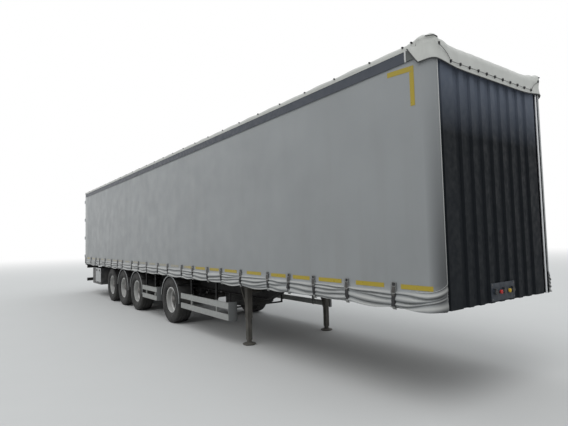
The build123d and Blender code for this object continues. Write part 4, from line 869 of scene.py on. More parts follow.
def eased(path, steps):
    """Points evenly spaced on a smooth curve through a few."""
    path = np.asarray(path, float)
    t = np.linspace(0, len(path) - 1, steps)
    padded = np.vstack([2 * path[0] - path[1], path, 2 * path[-1] - path[-2]])
    i = np.minimum(t.astype(int), len(path) - 2)
    f = (t - i)[:, None]
    a, b, c, d = (padded[i + k] for k in range(4))
    curve = (2 * a - 5 * b + 4 * c - d) * f ** 2
    return 0.5 * (2 * b + (c - a) * f + curve + (3 * b - a - 3 * c + d) * f ** 3)


def tube(path, radius, sides=8):
    """A round bar along a path, with closed ends."""
    path = np.asarray(path, float)
    ahead = np.gradient(path, axis=0)
    ahead /= np.linalg.norm(ahead, axis=1)[:, None]
    seed = np.array([0.0, 0.0, 1.0]) if abs(ahead[0, 2]) < 0.9 else np.array([0.0, 1.0, 0.0])
    rings = []
    for point, way in zip(path, ahead):
        first = np.cross(way, seed)
        first /= np.linalg.norm(first)
        second = np.cross(way, first)
        seed = np.cross(first, way) if abs(np.dot(seed, way)) > 0.99 else seed
        rings.append(ring(point, radius * first, radius * second, sides))
    return skinned(rings)


def strap_webbing(chance):
    """The sewn tab, the band over the skirt and its loose end, as across, out and z."""
    tab = ribbon(eased([(0.003, BUCKLE_TOP), (0.006, 1.36), (0.009, 1.33)], 5), WEB_WIDTH, WEB_THICK)
    bulge = chance.uniform(*STRAP_BULGE)
    over = [(0.012, 1.345), (bulge * 0.8, 1.29), (bulge, 1.23), (bulge * 0.9, 1.16), (0.006, 1.105)]
    length = chance.uniform(*TAIL_LENGTH)
    loose = [(bulge + 0.004, 1.25), (bulge + 0.007, 1.22), (bulge + 0.004, 1.25 - length)]
    return joined([tab, ribbon(eased(over, 14), WEB_WIDTH, WEB_THICK),
                   ribbon(eased(loose, 7), TAIL_WIDTH, WEB_THICK, chance.uniform(-TAIL_LEAN, TAIL_LEAN))])


def strap_buckle():
    """A bent wire frame, its two cross pins and the flat hook at the foot."""
    half, foot, top = BUCKLE_HALF, BUCKLE_FOOT, BUCKLE_TOP + 0.002
    loop = [(half, foot), (half, top - 0.014), (half * 0.75, top), (-half * 0.75, top),
            (-half, top - 0.014), (-half, foot), (half, foot)]
    wire = tube([(a, 0.0165 + 0.05 * (top - z), z) for a, z in eased(loop, 30)], WIRE_R, 6)
    pins = [tube([(-half, out, z), (half, out, z)], PIN_R) for out, z in ((0.0185, 1.347), (0.0225, 1.27))]
    bend = [(0.012, 1.148), (0.009, 1.108), (-0.002, 1.09), (-0.014, 1.09), (-0.017, 1.1)]
    return joined([wire, *pins, ribbon(eased(bend, 9), *HOOK)])


def strap_lever():
    """The dark curved lever inside the frame."""
    return ribbon(eased([(0.0155, 1.35), (0.021, 1.32), (0.0235, 1.28), (0.021, 1.235)], 8), *LEVER)


def set_on_curtain(shape, s, lean=0.0):
    """A strap part's across, out and z, set on the right curtain at s."""
    line, outward = curtain_line(s)
    across = np.array([-outward[1], outward[0]])
    points = np.asarray(shape[0], float)
    sideways = points[:, 0] + lean * (points[:, 2] - BUCKLE_TOP)
    flat = line + sideways[:, None] * across + points[:, 1:2] * outward
    return np.column_stack([flat, points[:, 2]]), shape[1]


def webbing(name, colour, wear=2.2):
    """Woven polyester band, dull and ribbed along its length, with wear as its change of shade."""
    weave = Finish(name, 0.75)
    fade = weave.patches(12.0, 6.0, 0.35, 0.7, 0.6)
    weave.drive("Base Color", weave.mixed(fade, colour, tuple(wear * c for c in colour)))
    weave.drive("Roughness", weave.uneven(0.62, 0.9, 60.0))
    weave.raised(weave.waves(WEB_RIBS, "Z"), 0.5, 0.0006)
    return weave


strap_cloth = webbing("strap_cloth", (0.016, 0.016, 0.017))
buckle_steel = painted("buckle_steel", (0.24, 0.245, 0.24), 0.35, mottle=0.2, dust=0.25, metallic=0.8,
                       grain=200)
lever_steel = painted("lever_steel", (0.05, 0.047, 0.045), 0.5, mottle=0.4, dust=0.3, dust_top=2.0,
                      metallic=0.4)
for side, seed in STRAP_SEEDS.items():
    chance = np.random.default_rng(seed)
    parts = {"straps": [], "buckles": [], "levers": []}
    for s in strap_s:
        lean = chance.uniform(-STRAP_LEAN, STRAP_LEAN) * (s > DOOR_REACH)
        for kind, shape in zip(parts, (strap_webbing(chance), strap_buckle(), strap_lever())):
            parts[kind].append(set_on_curtain(shape, s, lean))
    for kind, finish, slot in (
        ("straps", strap_cloth, "black_plastic"),
        ("buckles", buckle_steel, "bare_steel"),
        ("levers", lever_steel, "bare_steel"),
    ):
        piece(f"curtain_{kind}_{side}", sided(joined(parts[kind]), side), finish)


# Marking tape: yellow reflective film stuck on the curtains in dashes above the seam, and
# an angle at the top front corner. Road dirt has dulled the dashes towards the middle.
TAPE_OFF = 0.0018
TAPE_Z = (1.322, 1.374)
TAPE_HALF = 0.225
TAPE_INSET = 0.09
TAPE_END = (7.81, 8.215)
TAPE_STEP = 0.04
CORNER_TAPE_STEP = 0.012
MARK_WIDTH = 0.058
MARK_X = (7.735, 8.10)
MARK_Z = (3.295, 3.73)
MARK_RISE = 0.075
FILM_YELLOW = (0.34, 0.25, 0.005)
FILM_DIRT = (0.25, 0.245, 0.22)
DULL_REAR = (-7.6, -6.4)
DULL_FRONT = (1.8, 2.6)


def film(x_span, z_span, rise=0.0):
    """A strip of film on the right curtain between two places and two heights; it may rise to the rear."""
    first, last = x_span
    foot, top = z_span
    step = CORNER_TAPE_STEP if last > curtain_rear + straight else TAPE_STEP
    s = np.linspace(first - curtain_rear, last - curtain_rear, max(3, int((last - first) / step)))
    z = np.linspace(top, foot, max(2, int((top - foot) / TAPE_STEP)))
    line, outward = curtain_line(s)
    grid = np.zeros((len(z), len(s), 3))
    for i, height in enumerate(z):
        heights = height + rise * (s[-1] - s)
        grid[i, :, :2] = line + (billow(s, heights) + TAPE_OFF)[:, None] * outward
        grid[i, :, 2] = heights
    return grid_shape(grid)


def marking_film(name):
    """Yellow film with fine cells in it, brighter than paint and a little glossy."""
    tape = Finish(name, 0.35)
    dirt = tape.patches(1.4, 6.0, 0.35, 0.65, 0.55)
    along = tape.axis("X")
    middle = tape.worked("MULTIPLY", tape.ranged(along, *DULL_REAR, 0.5, 1.0),
                         tape.ranged(along, *DULL_FRONT, 1.0, 0.0))
    faded = tape.ranged(middle, 0.0, 1.0, 0.12, 0.93)
    share = tape.worked("MULTIPLY", tape.worked("MAXIMUM", dirt, faded), faded)
    tape.drive("Base Color", tape.mixed(share, FILM_YELLOW, FILM_DIRT))
    tape.drive("Roughness", tape.uneven(0.25, 0.5, 20.0))
    cells = tape.add("TexVoronoi", {"Vector": tape.place, "Scale": 300.0})
    tape.raised(cells.outputs["Distance"], 0.2, 0.0005)
    return tape


yellow_film = marking_film("yellow_film")
film_strips = [film(TAPE_END, TAPE_Z)]
for start, end in zip(STRAP_X[:-1], STRAP_X[1:]):
    half = min((end - start) / 2 - TAPE_INSET, TAPE_HALF)
    film_strips.append(film(((start + end) / 2 - half, (start + end) / 2 + half), TAPE_Z))
film_strips.append(film(MARK_X, (MARK_Z[1] - MARK_WIDTH, MARK_Z[1]), MARK_RISE))
film_strips.append(film((MARK_X[1] - MARK_WIDTH, MARK_X[1]), (MARK_Z[0], MARK_Z[1] - MARK_WIDTH)))
for side in curtains:
    piece(f"marking_film_{side}", sided(joined(film_strips), side), yellow_film)


# Curtain edges: the front edge wraps a pole and is finished with a light beaded edge, which
# runs on as a rope along the seam round the corner. The rear edge is sewn double round its
# pole. A grey cover closes the front end of each cant rail, with a white pull strap over it.
EDGE_R = 0.0055
ROPE_R = 0.0032
ROPE_LEAD = 0.12
REAR_HEM = 0.34
SLEEVE = 0.07
SLEEVE_PROUD = 0.006
HEM_OFF = 0.0018
HEM_ROWS = 24
RAIL_COVER_X = (8.016, 8.152)
PULL_X = 8.006
PULL_STRAP = (0.022, 0.002)  # width and thickness
PLATE_EDGE = 0.002
rail_low, rail_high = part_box("cant_rails")
# The front edge cloth carries some of the painted corner shade.
edge_cloth = tarpaulin("edge_cloth", (0.5, 0.51, 0.5), 0.1, corner=0.55)
hem_cloth = tarpaulin("hem_cloth", (0.35, 0.365, 0.36), 0.3)
cover_plastic = painted("cover_plastic", (0.075, 0.083, 0.08), 0.5, dust=0.2, dust_top=4.0)
pull_webbing = webbing("pull_webbing", (0.5, 0.5, 0.49), 1.15)


def slab(low, high, edge=PLATE_EDGE):
    """A plate or block between two corners, with its edges taken off."""
    low, high = np.array(low, float), np.array(high, float)
    points = []
    for corner in np.ndindex(2, 2, 2):
        for flat in range(3):
            inset = np.where(np.arange(3) == flat, 0, edge)
            points.append(np.where(np.array(corner) == 0, low + inset, high - inset))
    return hull(points)


def along_curtain(s, z, off):
    """Points at places and heights on the right curtain, stood off from its line."""
    line, outward = curtain_line(s)
    return np.column_stack([line + np.broadcast_to(off, np.shape(s))[..., None] * outward, z])


edge_z = np.linspace(rail_low.z - 0.02, float(seam_height(curtain_length)), 12)
front_edge = tube(along_curtain(np.full(12, curtain_length), edge_z, 0.002), EDGE_R)
rope_s = np.linspace(straight - ROPE_LEAD, curtain_length, 22)
seam_rope = tube(along_curtain(rope_s, seam_height(rope_s) + 0.004, 0.004), ROPE_R)
hem_s = np.concatenate([np.linspace(0, SLEEVE, 12), np.linspace(0.11, REAR_HEM, 7)])
sleeve = SLEEVE_PROUD * np.sin(math.pi * np.clip(hem_s / SLEEVE, 0, 1)) + HEM_OFF
hem_grid = np.array([along_curtain(hem_s, np.full(len(hem_s), height), billow(hem_s, height) + sleeve)
                     for height in np.linspace(rail_low.z + 0.01, SEAM_Z + 0.006, HEM_ROWS)])
rail_cover = slab((RAIL_COVER_X[0], rail_low.y - 0.003, rail_low.z + 0.002),
                  (RAIL_COVER_X[1], rail_low.y, rail_high.z - 0.001), 0.001)
pull_path = [(0.0055, 3.925), (0.0055, 3.86), (0.005, 3.81), (-0.001, 3.79)]
pull_strap = set_at(ribbon(eased(pull_path, 9), *PULL_STRAP), (PULL_X, rail_low.y, 0), ACROSS)
for side in curtains:
    for label, shape, finish, slot in (
        ("curtain_edge", joined([front_edge, seam_rope]), edge_cloth, "curtain_cloth"),
        ("curtain_hem", grid_shape(hem_grid), hem_cloth, "curtain_cloth"),
        ("rail_cover", rail_cover, cover_plastic, "black_plastic"),
        ("pull_strap", pull_strap, pull_webbing, "roof_cloth"),
    ):
        piece(f"{label}_{side}", sided(shape, side), finish)


# Roof cover: off-white coated cloth drawn over the bows, with an edge that turns down over
# the cant rail and puffs up a little between them. Black knobs hold it at each bow.
BOWS = np.array([7.98] + [7.49 - 0.62 * i for i in range(26)])
BOW_REACH = 0.62
EDGE_PUFF = 0.013
CROWN_RISE = 0.006
CROWN_SAG = 0.008
EDGE_TOP = 0.045
ROOF_COLUMNS = 467
UNDER_HOOD = 0.088
KNOB_R = 0.0115
KNOB_Z = 0.031
roof_low, roof_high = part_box("roof_cover")
edge_out = -rail_low.y + 0.0035


def both_sides(shape):
    """A shape and its mirror image on the other side of the trailer."""
    return joined([shape, moved(shape, ACROSS)])


def between_bows(x):
    """0 over a bow and 1 midway between two."""
    return math.sin(math.pi * min(0.5, np.abs(BOWS - x).min() / BOW_REACH)) ** 2


def roof_section(puff):
    """Half the roof across, from the hem beside the rail to the crown, as (out, z)."""
    top = rail_high.z + EDGE_TOP
    edge = [
        (edge_out, rail_high.z - 0.021), (edge_out + 0.002, rail_high.z - 0.006),
        (edge_out + 0.002 + 0.3 * puff, rail_high.z + 0.012),
        (edge_out - 0.001 + 0.3 * puff, top - 0.018),
        (edge_out - 0.007, top - 0.007 + 0.6 * puff), (edge_out - 0.018, top + 0.9 * puff),
    ]
    across = np.linspace(edge_out - 0.05, 0, 14)
    rise = roof_high.z + CROWN_RISE - top
    return edge + [(y, top + rise * (1 - (y / edge_out) ** 2) + puff * (y / edge_out) ** 4) for y in across]


def roof_grid():
    """Rows across and columns along the roof."""
    grid = []
    for x in np.linspace(roof_low.x, roof_high.x + UNDER_HOOD, ROOF_COLUMNS):
        between = between_bows(x)
        half = roof_section(EDGE_PUFF * between * (0.75 + 0.25 * math.sin(7.1 * x)))
        section = [(-y, z - CROWN_SAG * between * (1 - (y / edge_out) ** 2)) for y, z in half]
        section += [(-y, z) for y, z in reversed(section[:-1])]
        grid.append([(x, y, z) for y, z in section])
    return np.array(grid)


roof_cloth = tarpaulin("roof_cloth", (0.49, 0.495, 0.465), 0.4, 0.5)
knob_plastic = painted("knob_plastic", (0.02, 0.02, 0.022), 0.5, dust=0.1)
cover = piece("drawn_roof_cover", grid_shape(roof_grid()), roof_cloth, sharp=60.0,
              stands_for="roof_cover")
knob = turned([(-0.004, KNOB_R), (0.003, KNOB_R), (0.005, KNOB_R * 0.6), (0.009, KNOB_R * 0.6),
               (0.011, KNOB_R * 0.9), (0.015, KNOB_R * 0.8), (0.016, 0.0005)], 12)
knobs = [set_at(knob, (x, edge_out + 0.001, rail_high.z + KNOB_Z)) for x in BOWS]
piece("roof_knobs", both_sides(joined(knobs)), knob_plastic)


# The hood: the roof cover's front end, a loose off-white cap that wraps the top of both
# rounded corners and the front edge. A dark welt runs along its hem, a stretch cord gathers
# it over each corner, and knobs hold it. The dark welt and the dark cords along the crest are
# partly painted shadow under the hem and under the crest.
HOOD_BACK_X = 8.042
HOOD_CORNER_R = 0.172
HOOD_HEM = 3.728
HOOD_SLANT_X = 0.13
HOOD_INWARD = 0.34
HOOD_BEND = (0.045, 0.12)
HOOD_LIFT = 0.042
HOOD_EDGE_RISE = 0.052
HOOD_CROWN = 0.012
HOOD_MOUND = (0.285, 0.155, 0.22)  # place along the edge, reach before it and after it
HOOD_ARCH = (0.32, 0.14, 0.26)
HOOD_SWEEP = 0.3
HOOD_TURN_IN = 0.06
HOOD_NOSE = 0.5
HOOD_DIP = 0.03
CRUMPLES = (0.006, 0.005)
PLEATS = (0.012, 0.009)
CRUMPLE_SPAN = (-0.018, 0.007)
HEM_FLARE = 0.004
HOOD_COLUMNS = 130
HOOD_ROWS = 12
STUD_PITCH = 0.179
STUD_Z = 3.783
STUD_COUNT = 11
STUD_STRETCH = Matrix.Diagonal((1, 1, 1.8, 1))
ALONG = Matrix.Rotation(-math.pi / 2, 4, "Z")
CORNER_STUD = (1.1, 3.935)
SIDE_STUD = (8.105, 3.968)
CORD_ENDS = [(-1.1, 3.925), (-1.03, 3.895), (-0.96, 3.85)]
CORD_R = 0.0028
CREST_ROW = 14
CREST_COLUMNS = slice(19, 32)
CREST_R = 0.005
WELT_R = 0.0065
hood_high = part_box("roof_front_cap")[1]
hood_out = hood_high.y + 0.011
hood_front = hood_high.x + 0.003
side_run = hood_front - HOOD_CORNER_R - HOOD_BACK_X
arc_run = HOOD_CORNER_R * math.pi / 2


def hood_line(p):
    """Place, outward direction and share of front (0 beside, 1 ahead) along the hood's edge."""
    if p < side_run:
        return (HOOD_BACK_X + p, -hood_out), (0.0, -1.0), 0.0
    if p < side_run + arc_run:
        turn = (p - side_run) / HOOD_CORNER_R
        x = hood_front - HOOD_CORNER_R + HOOD_CORNER_R * math.sin(turn)
        y = -(hood_out - HOOD_CORNER_R + HOOD_CORNER_R * math.cos(turn))
        return (x, y), (math.sin(turn), -math.cos(turn)), turn / (math.pi / 2)
    return (hood_front, -(hood_out - HOOD_CORNER_R) + p - side_run - arc_run), (1.0, 0.0), 1.0


def swell(p, middle, before, after):
    """1 at a place along the hood, fading to 0 over one reach before it and another after it."""
    return math.exp(-((p - middle) / (before if p < middle else after)) ** 2)


def hood_column(p):
    """One column of the hood from its hem up over the edge and back along the roof."""
    (x, y), (nx, ny), front = hood_line(p)
    hem = rail_high.z - 0.006 + (HOOD_HEM - rail_high.z + 0.006) * reached(p, HOOD_SLANT_X)
    hem += HOOD_LIFT * swell(p, *HOOD_ARCH)
    mound = swell(p, *HOOD_MOUND)
    inward = HOOD_CORNER_R - 0.003
    if front == 1:
        inward += (HOOD_INWARD - inward) * reached(hood_out - HOOD_CORNER_R - abs(y), HOOD_TURN_IN)
    bend = HOOD_BEND[0] + (HOOD_BEND[1] - HOOD_BEND[0]) * reached(hood_out - abs(y), HOOD_NOSE)
    edge_z = rail_high.z + HOOD_EDGE_RISE
    top = edge_z + (roof_high.z + 0.008 - edge_z) * reached(p, HOOD_SWEEP) + HOOD_LIFT * mound
    turns = np.linspace(0, math.pi / 2, HOOD_ROWS)
    face = [(0.0, z) for z in np.linspace(hem, top - bend, HOOD_ROWS, endpoint=False)]
    arc = [(-bend + bend * math.cos(a), top - bend + bend * math.sin(a)) for a in turns]
    back = [(o, top - HOOD_DIP * mound * (-o - bend) / inward)
            for o in np.linspace(-bend, -inward, HOOD_ROWS)[1:]]
    path = np.array(face + arc + back)
    share = np.linspace(0, 1, len(path))
    loose = np.sin(math.pi * np.clip(share * 1.1, 0, 1)) * (0.25 + mound)
    crumple = CRUMPLES[0] * np.sin(13 * share + 9 * p) * np.sin(3.5 * p + 1.0)
    crumple += CRUMPLES[1] * np.sin(34 * p + 5 * share)
    pleat = PLEATS[0] * mound * np.sin(math.pi * share) ** 1.5 * np.sin(38 * p + 4.0 * share)
    pleat -= PLEATS[1] * mound * np.exp(-((share - 0.33 - 0.25 * (p - 0.2)) / 0.03) ** 2)
    out = path[:, 0] + np.clip(crumple * loose + pleat, *CRUMPLE_SPAN) + HEM_FLARE * (1 - share) ** 6
    crown = HOOD_CROWN * (1 - (y / hood_out) ** 2)
    lift = crown * share + np.where(share > 0.5, 1.2 * crumple * loose * (1 - share), 0)
    return np.column_stack([x + out * nx, y + out * ny, path[:, 1] + lift])


def hood_grid():
    """Columns from the right rear end of the hood to the middle, mirrored to the left."""
    half_run = side_run + arc_run + hood_out - HOOD_CORNER_R
    columns = [hood_column(p) for p in np.linspace(0, half_run, HOOD_COLUMNS)]
    mirror = [column * np.array([1, -1, 1]) for column in reversed(columns[:-1])]
    return np.array(columns + mirror)


hood_points = hood_grid()
hood = piece("front_hood", grid_shape(hood_points), roof_cloth, sharp=70.0,
             stands_for="roof_front_cap")
hood_nose = hood_points[:, :, 0].max() + 0.001
stud_row = [(i * STUD_PITCH, STUD_Z) for i in range(-(STUD_COUNT // 2), STUD_COUNT // 2 + 1)]
front_studs = stud_row + [(side * CORNER_STUD[0], CORNER_STUD[1]) for side in (-1, 1)]
studs = [set_at(knob, (hood_nose - 0.004, y, z), STUD_STRETCH @ ALONG) for y, z in front_studs]
side_stud = set_at(knob, (SIDE_STUD[0], hood_out, SIDE_STUD[1]))
cord_line = CORD_ENDS + [(y, z - 0.002) for y, z in stud_row] + [(-y, z) for y, z in reversed(CORD_ENDS)]
cord = tube([(hood_nose + 0.003, y, z) for y, z in cord_line], CORD_R, 6)
piece("hood_studs", joined([*studs, both_sides(side_stud), cord]), knob_plastic)
# The dark welt and crest cords are partly painted shadow, laid where shadow falls under the hem and the
# crest's fold.
welt_and_shadow_rubber = painted("welt_and_shadow_rubber", (0.035, 0.036, 0.038), 0.6, dust=0.1)
crest = tube(hood_points[CREST_COLUMNS, CREST_ROW] + np.array([0.004, -0.003, 0.002]), CREST_R)
piece("hood_crest_cords", both_sides(crest), welt_and_shadow_rubber)
hem_line = hood_points[:, 0, :] + np.array([0, 0, -0.004])
welt = piece("hood_welt", tube(hem_line, WELT_R), welt_and_shadow_rubber)


# Rear doors: light grey panels edged in riveted aluminium, with black rubber seals round them.
# Each hangs on four bolted strap hinges and has two lock bars in bolted clamps, with their
# handles in rubber grips.
DOOR_FACE_X = -8.232
DOOR_Y = (0.006, 1.246)
DOOR_Z = (1.215, 3.815)
SEAL = (0.013, 0.0035)  # width, and how proud it stands
EDGING = (0.045, 0.0018)  # the same
HINGE_Z = (1.42, 2.1467, 2.8733, 3.6)
HINGE_BOLT_Y = (0.995, 1.085, 1.175)
BAR_Y = (0.21, 1.0)
CLAMP_Z = (1.3, 1.91, 2.52, 3.13, 3.74)
HANDLE_Z = (1.61, 1.64)
GRIP_X = (-8.2715, -8.2525)
GRIP_Y = ((0.395, 0.535), (0.675, 0.815))
REARWARD = (-1, 0, 0)
STRAP_BOLT = (0.0075, 0.006)  # radius and height
CLAMP_BOLT = (0.0055, 0.005)
door_paint = painted("door_paint", (0.42, 0.44, 0.45), 0.4, dust=0.2, dust_top=3.0)
galvanised = painted("galvanised_steel", (0.45, 0.46, 0.47), 0.42, mottle=0.22, dust=0.2, metallic=0.8,
                     grain=60)
seal_rubber = painted("seal_rubber", (0.015, 0.015, 0.016), 0.65, dust=0.1, shine=0.3)
coat(door_paint, "rear_door_left", "rear_door_right")
coat(galvanised, "lock_bars_left", "lock_bars_right", "door_hinges")


def rivets(places, outward, radius=0.005, height=0.002):
    """Low domed heads."""
    dome = turned([(0, radius), (0.6 * height, 0.75 * radius), (height, 0.0004)], 8)
    return standing(dome, places, outward)


def door_frame(inset, width, proud):
    """Four strips laid round the left door's face, some way in from its edge."""
    x = (DOOR_FACE_X - proud, DOOR_FACE_X + 0.0005)
    (y0, y1), (z0, z1) = ((low + inset, high - inset) for low, high in (DOOR_Y, DOOR_Z))
    strips = [((y0, z0), (y0 + width, z1)), ((y1 - width, z0), (y1, z1)),
              ((y0 + width, z0), (y1 - width, z0 + width)), ((y0 + width, z1 - width), (y1 - width, z1))]
    return joined([slab((x[0], *low), (x[1], *high), 0.0007) for low, high in strips])


edge_face = DOOR_FACE_X - EDGING[1]
edge_mid = SEAL[0] + EDGING[0] / 2
rivet_y = np.linspace(DOOR_Y[0] + 0.12, DOOR_Y[1] - 0.12, 7)
rivet_z = np.linspace(DOOR_Z[0] + edge_mid, DOOR_Z[1] - edge_mid, 17)
rivet_places = [(edge_face, y, z) for z in rivet_z for y in (DOOR_Y[0] + edge_mid, DOOR_Y[1] - edge_mid)]
rivet_places += [(edge_face, y, z) for y in rivet_y for z in (rivet_z[0], rivet_z[-1])]
edging = joined([door_frame(SEAL[0], *EDGING), rivets(rivet_places, REARWARD)])
strap_bolts = [(DOOR_FACE_X - 0.006, y, z + d)
               for z in HINGE_Z for y in HINGE_BOLT_Y for d in (-0.017, 0.017)]
clamp_bolts = [(DOOR_FACE_X - 0.005, y + e, z + d) for y in BAR_Y for z in CLAMP_Z
               for e in (-0.0305, 0.0305) for d in (-0.013, 0.013)]
door_bolts = joined([
    bolt_heads(strap_bolts, REARWARD, *STRAP_BOLT),
    bolt_heads(clamp_bolts, REARWARD, *CLAMP_BOLT),
])
grips = joined([slab((GRIP_X[0], low, HANDLE_Z[0] - 0.004), (GRIP_X[1], high, HANDLE_Z[1] + 0.004), 0.005)
                for low, high in GRIP_Y])
for side in ("left", "right"):
    for label, shape, finish, slot in (
        ("seal", door_frame(0.0, *SEAL), seal_rubber, "black_plastic"),
        ("edging", edging, aluminium, "bare_aluminium"),
        ("bolts", door_bolts, galvanised, "galvanised_steel"),
        ("grips", grips, seal_rubber, "black_plastic"),
    ):
        piece(f"door_{label}_{side}", sided(shape, side, "left"), finish, f"rear_door_{side}")


# Rear sill: below the doors hang a blank number plate in its holder with a lamp at each end,
# and two red triangles. Rubber buffers are bolted to the sill's ends.
SILL_X = -8.2
SILL_Z = 1.075
PLATE_HALF = (0.26, 0.055)
HOLDER_HALF = 0.275
PLATE_LAMP_Y = 0.305
TRIANGLE_Y = 0.56
TRIANGLE_SIDE = 0.15
TRIANGLE_Z = 1.0
CORNER_ROUND = 0.009
HANGER_FOOT = 0.93
BUFFER_Y = (1.12, 1.225)
BUFFER_Z = (1.085, 1.17)
BUFFER_PROUD = 0.062
BUFFER_BOLT_Y = (1.145, 1.2)
BUFFER_BOLT = (0.009, 0.006)
plate_white = painted("plate_white", (0.62, 0.62, 0.58), 0.35, mottle=0.05, dust=0.3, grain=300)


def lens(name, colour):
    """Ribbed clear plastic over a reflector, glossy under a film of dust."""
    plastic = painted(name, colour, 0.16, mottle=0.1, dust=0.15, grain=20)
    plastic.raised(plastic.waves(60.0, "Y"), 0.6, 0.0012)
    return plastic


def triangle(y):
    """A reflecting triangle with rounded corners on the sill's hanger."""
    side = TRIANGLE_SIDE
    corners = [(-side / 2, -0.29 * side), (side / 2, -0.29 * side), (0.0, 0.58 * side)]
    rounds = [(a + CORNER_ROUND * math.cos(t), b + CORNER_ROUND * math.sin(t))
              for a, b in corners for t in np.arange(8) * math.pi / 4]
    return hull([(SILL_X + x, y + a * shrink, TRIANGLE_Z + b * shrink) for a, b in rounds
                 for x, shrink in ((0.006, 1.0), (-0.001, 1.0), (-0.003, 0.97))])


def on_sill(x_span, middle, half, z_span, edge=PLATE_EDGE):
    """A block off the sill's face, with its middle and half width across the trailer."""
    low = (SILL_X + x_span[0], middle - half, z_span[0])
    return slab(low, (SILL_X + x_span[1], middle + half, z_span[1]), edge)


plate_z = SILL_Z - 0.008 - PLATE_HALF[1]
holder = [on_sill((0.003, 0.012), 0.0, HOLDER_HALF, (plate_z - 0.068, SILL_Z + 0.003))]
holder += [on_sill((-0.016, 0.014), y, 0.024, (plate_z - 0.02, SILL_Z + 0.002), 0.005)
           for y in (-PLATE_LAMP_Y, PLATE_LAMP_Y)]
holder += [on_sill((0.006, 0.014), y, 0.03, (HANGER_FOOT, SILL_Z + 0.003))
           for y in (-TRIANGLE_Y, TRIANGLE_Y)]
plate_span = (plate_z - PLATE_HALF[1], plate_z + PLATE_HALF[1])
plate = on_sill((0.0, 0.0035), 0.0, PLATE_HALF[0], plate_span, 0.0012)
buffer_middle = (BUFFER_Z[0] + BUFFER_Z[1]) / 2
buffer_bolts = [(SILL_X - BUFFER_PROUD, y, buffer_middle) for y in BUFFER_BOLT_Y]
buffer_block = joined([
    slab((SILL_X - BUFFER_PROUD, BUFFER_Y[0], BUFFER_Z[0]),
         (SILL_X + 0.001, BUFFER_Y[1], BUFFER_Z[1]), 0.009),
    bolt_heads(buffer_bolts, REARWARD, *BUFFER_BOLT),
])
red_lens = lens("red_lens", (0.4, 0.008, 0.008))
piece("plate_holder", joined(holder), black_plastic)
piece("blank_plate", plate, plate_white)
piece("sill_buffers", both_sides(buffer_block), seal_rubber)
piece("red_triangles", both_sides(triangle(TRIANGLE_Y)), red_lens)


# Tail lamps: a cluster at each end of the sill, with ribbed lenses of clear, red and amber
# plastic side by side in a dark housing.
LAMP_FACE_X = -8.195
LAMP_LENS_X = -8.189
CLUSTER = 0.42
CELLS = {"clear": (0.006, 0.1), "red": (0.106, 0.3), "amber": (0.306, 0.414)}
lamp_low, lamp_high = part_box("tail_lamps")


def parted(name, first, second, choose, shine=0.5):
    """A finish of one colour with another where choose(paint) gives 1."""
    paint = painted(name, first, 0.42, mottle=0.1, dust=0.3, metallic=0.5, shine=shine)
    share = choose(paint)
    paint.cover(share, second)
    paint.drive("Metallic", paint.worked("MULTIPLY", paint.worked("SUBTRACT", 1.0, share), 0.6))
    return paint


def lamp_housing(paint):
    """1 on the housing of a lamp, ahead of its lens."""
    return paint.beyond("X", LAMP_LENS_X)


lamp_red = parted("lamp_red", (0.42, 0.012, 0.012), (0.02, 0.02, 0.02), lamp_housing)
coat(lamp_red, "tail_lamps")
clear_lens = lens("clear_lens", (0.6, 0.6, 0.6))
amber_lens = lens("amber_lens", (0.6, 0.16, 0.01))
for (name, span), finish in zip(CELLS.items(), (clear_lens, red_lens, amber_lens)):
    first, last = (lamp_high.y - CLUSTER + reach for reach in span)
    cell = slab((LAMP_FACE_X - 0.007, first, lamp_low.z + 0.008),
                (LAMP_FACE_X + 0.001, last, lamp_high.z - 0.008), 0.003)
    piece(f"{name}_lenses", both_sides(cell), finish)


# Bolts of the running gear: pivot bolts hold the trailing arms in their hangers, U-bolts
# hold the axles to the arms, and a steel band closes each brake chamber.
AXLE_X = (0.885, -1.702, -3.012, -4.322)
AXLE_Z = 0.532
BEAM_Y = 0.65
PIVOT = (0.52, 0.06, 0.655)  # ahead of the axle, off the arm's middle, height
PIVOT_BOLT = (0.024, 0.018)  # radius and height
U_BOLT_R = 0.0735
U_BOLT_BAR = 0.009
U_BOLT_Z = (0.6, 0.694)
U_BOLT_SEAT = 0.679
U_BOLT_OUT = 0.056
U_BOLT_NUT = (0.014, 0.012)
CLAMP_HALF = (0.092, 0.07)
CLAMP_THICK = 0.012
SPRING_PLACE = (-0.33, 0.05, 0.824)  # behind the axle, off the arm's middle, height
SPRING_BOLT = (0.01, 0.008)
CHAMBER = (-0.262, 0.43, 0.1)  # behind the axle, out from the middle, over the axle
CHAMBER_BAND = (0.079, 0.024, 0.007)  # radius, width and thickness
UPWARD = (0, 0, 1)


def band(radius, width, thick):
    """A flat ring about the Y axis with a raised seam on both edges."""
    half, groove, full = width / 2, radius + 0.5 * thick, radius + thick
    return turned([(-half, radius), (-half, full), (-0.6 * half, full), (-0.5 * half, groove),
                   (0.5 * half, groove), (0.6 * half, full), (half, full), (half, radius)], 40)


def u_bolt(x, y):
    """A bar bent under the axle, with both ends up through the arm's plate under nuts."""
    low, high = U_BOLT_Z
    turn = np.linspace(math.pi, 2 * math.pi, 13)
    path = [(x - U_BOLT_R, y, high), (x - U_BOLT_R, y, low)]
    path += [(x + U_BOLT_R * math.cos(a), y, AXLE_Z + U_BOLT_R * math.sin(a)) for a in turn]
    path += [(x + U_BOLT_R, y, low), (x + U_BOLT_R, y, high)]
    nuts = bolt_heads([(x + side * U_BOLT_R, y, U_BOLT_SEAT) for side in (-1, 1)], UPWARD, *U_BOLT_NUT)
    return joined([tube(path, U_BOLT_BAR), nuts])


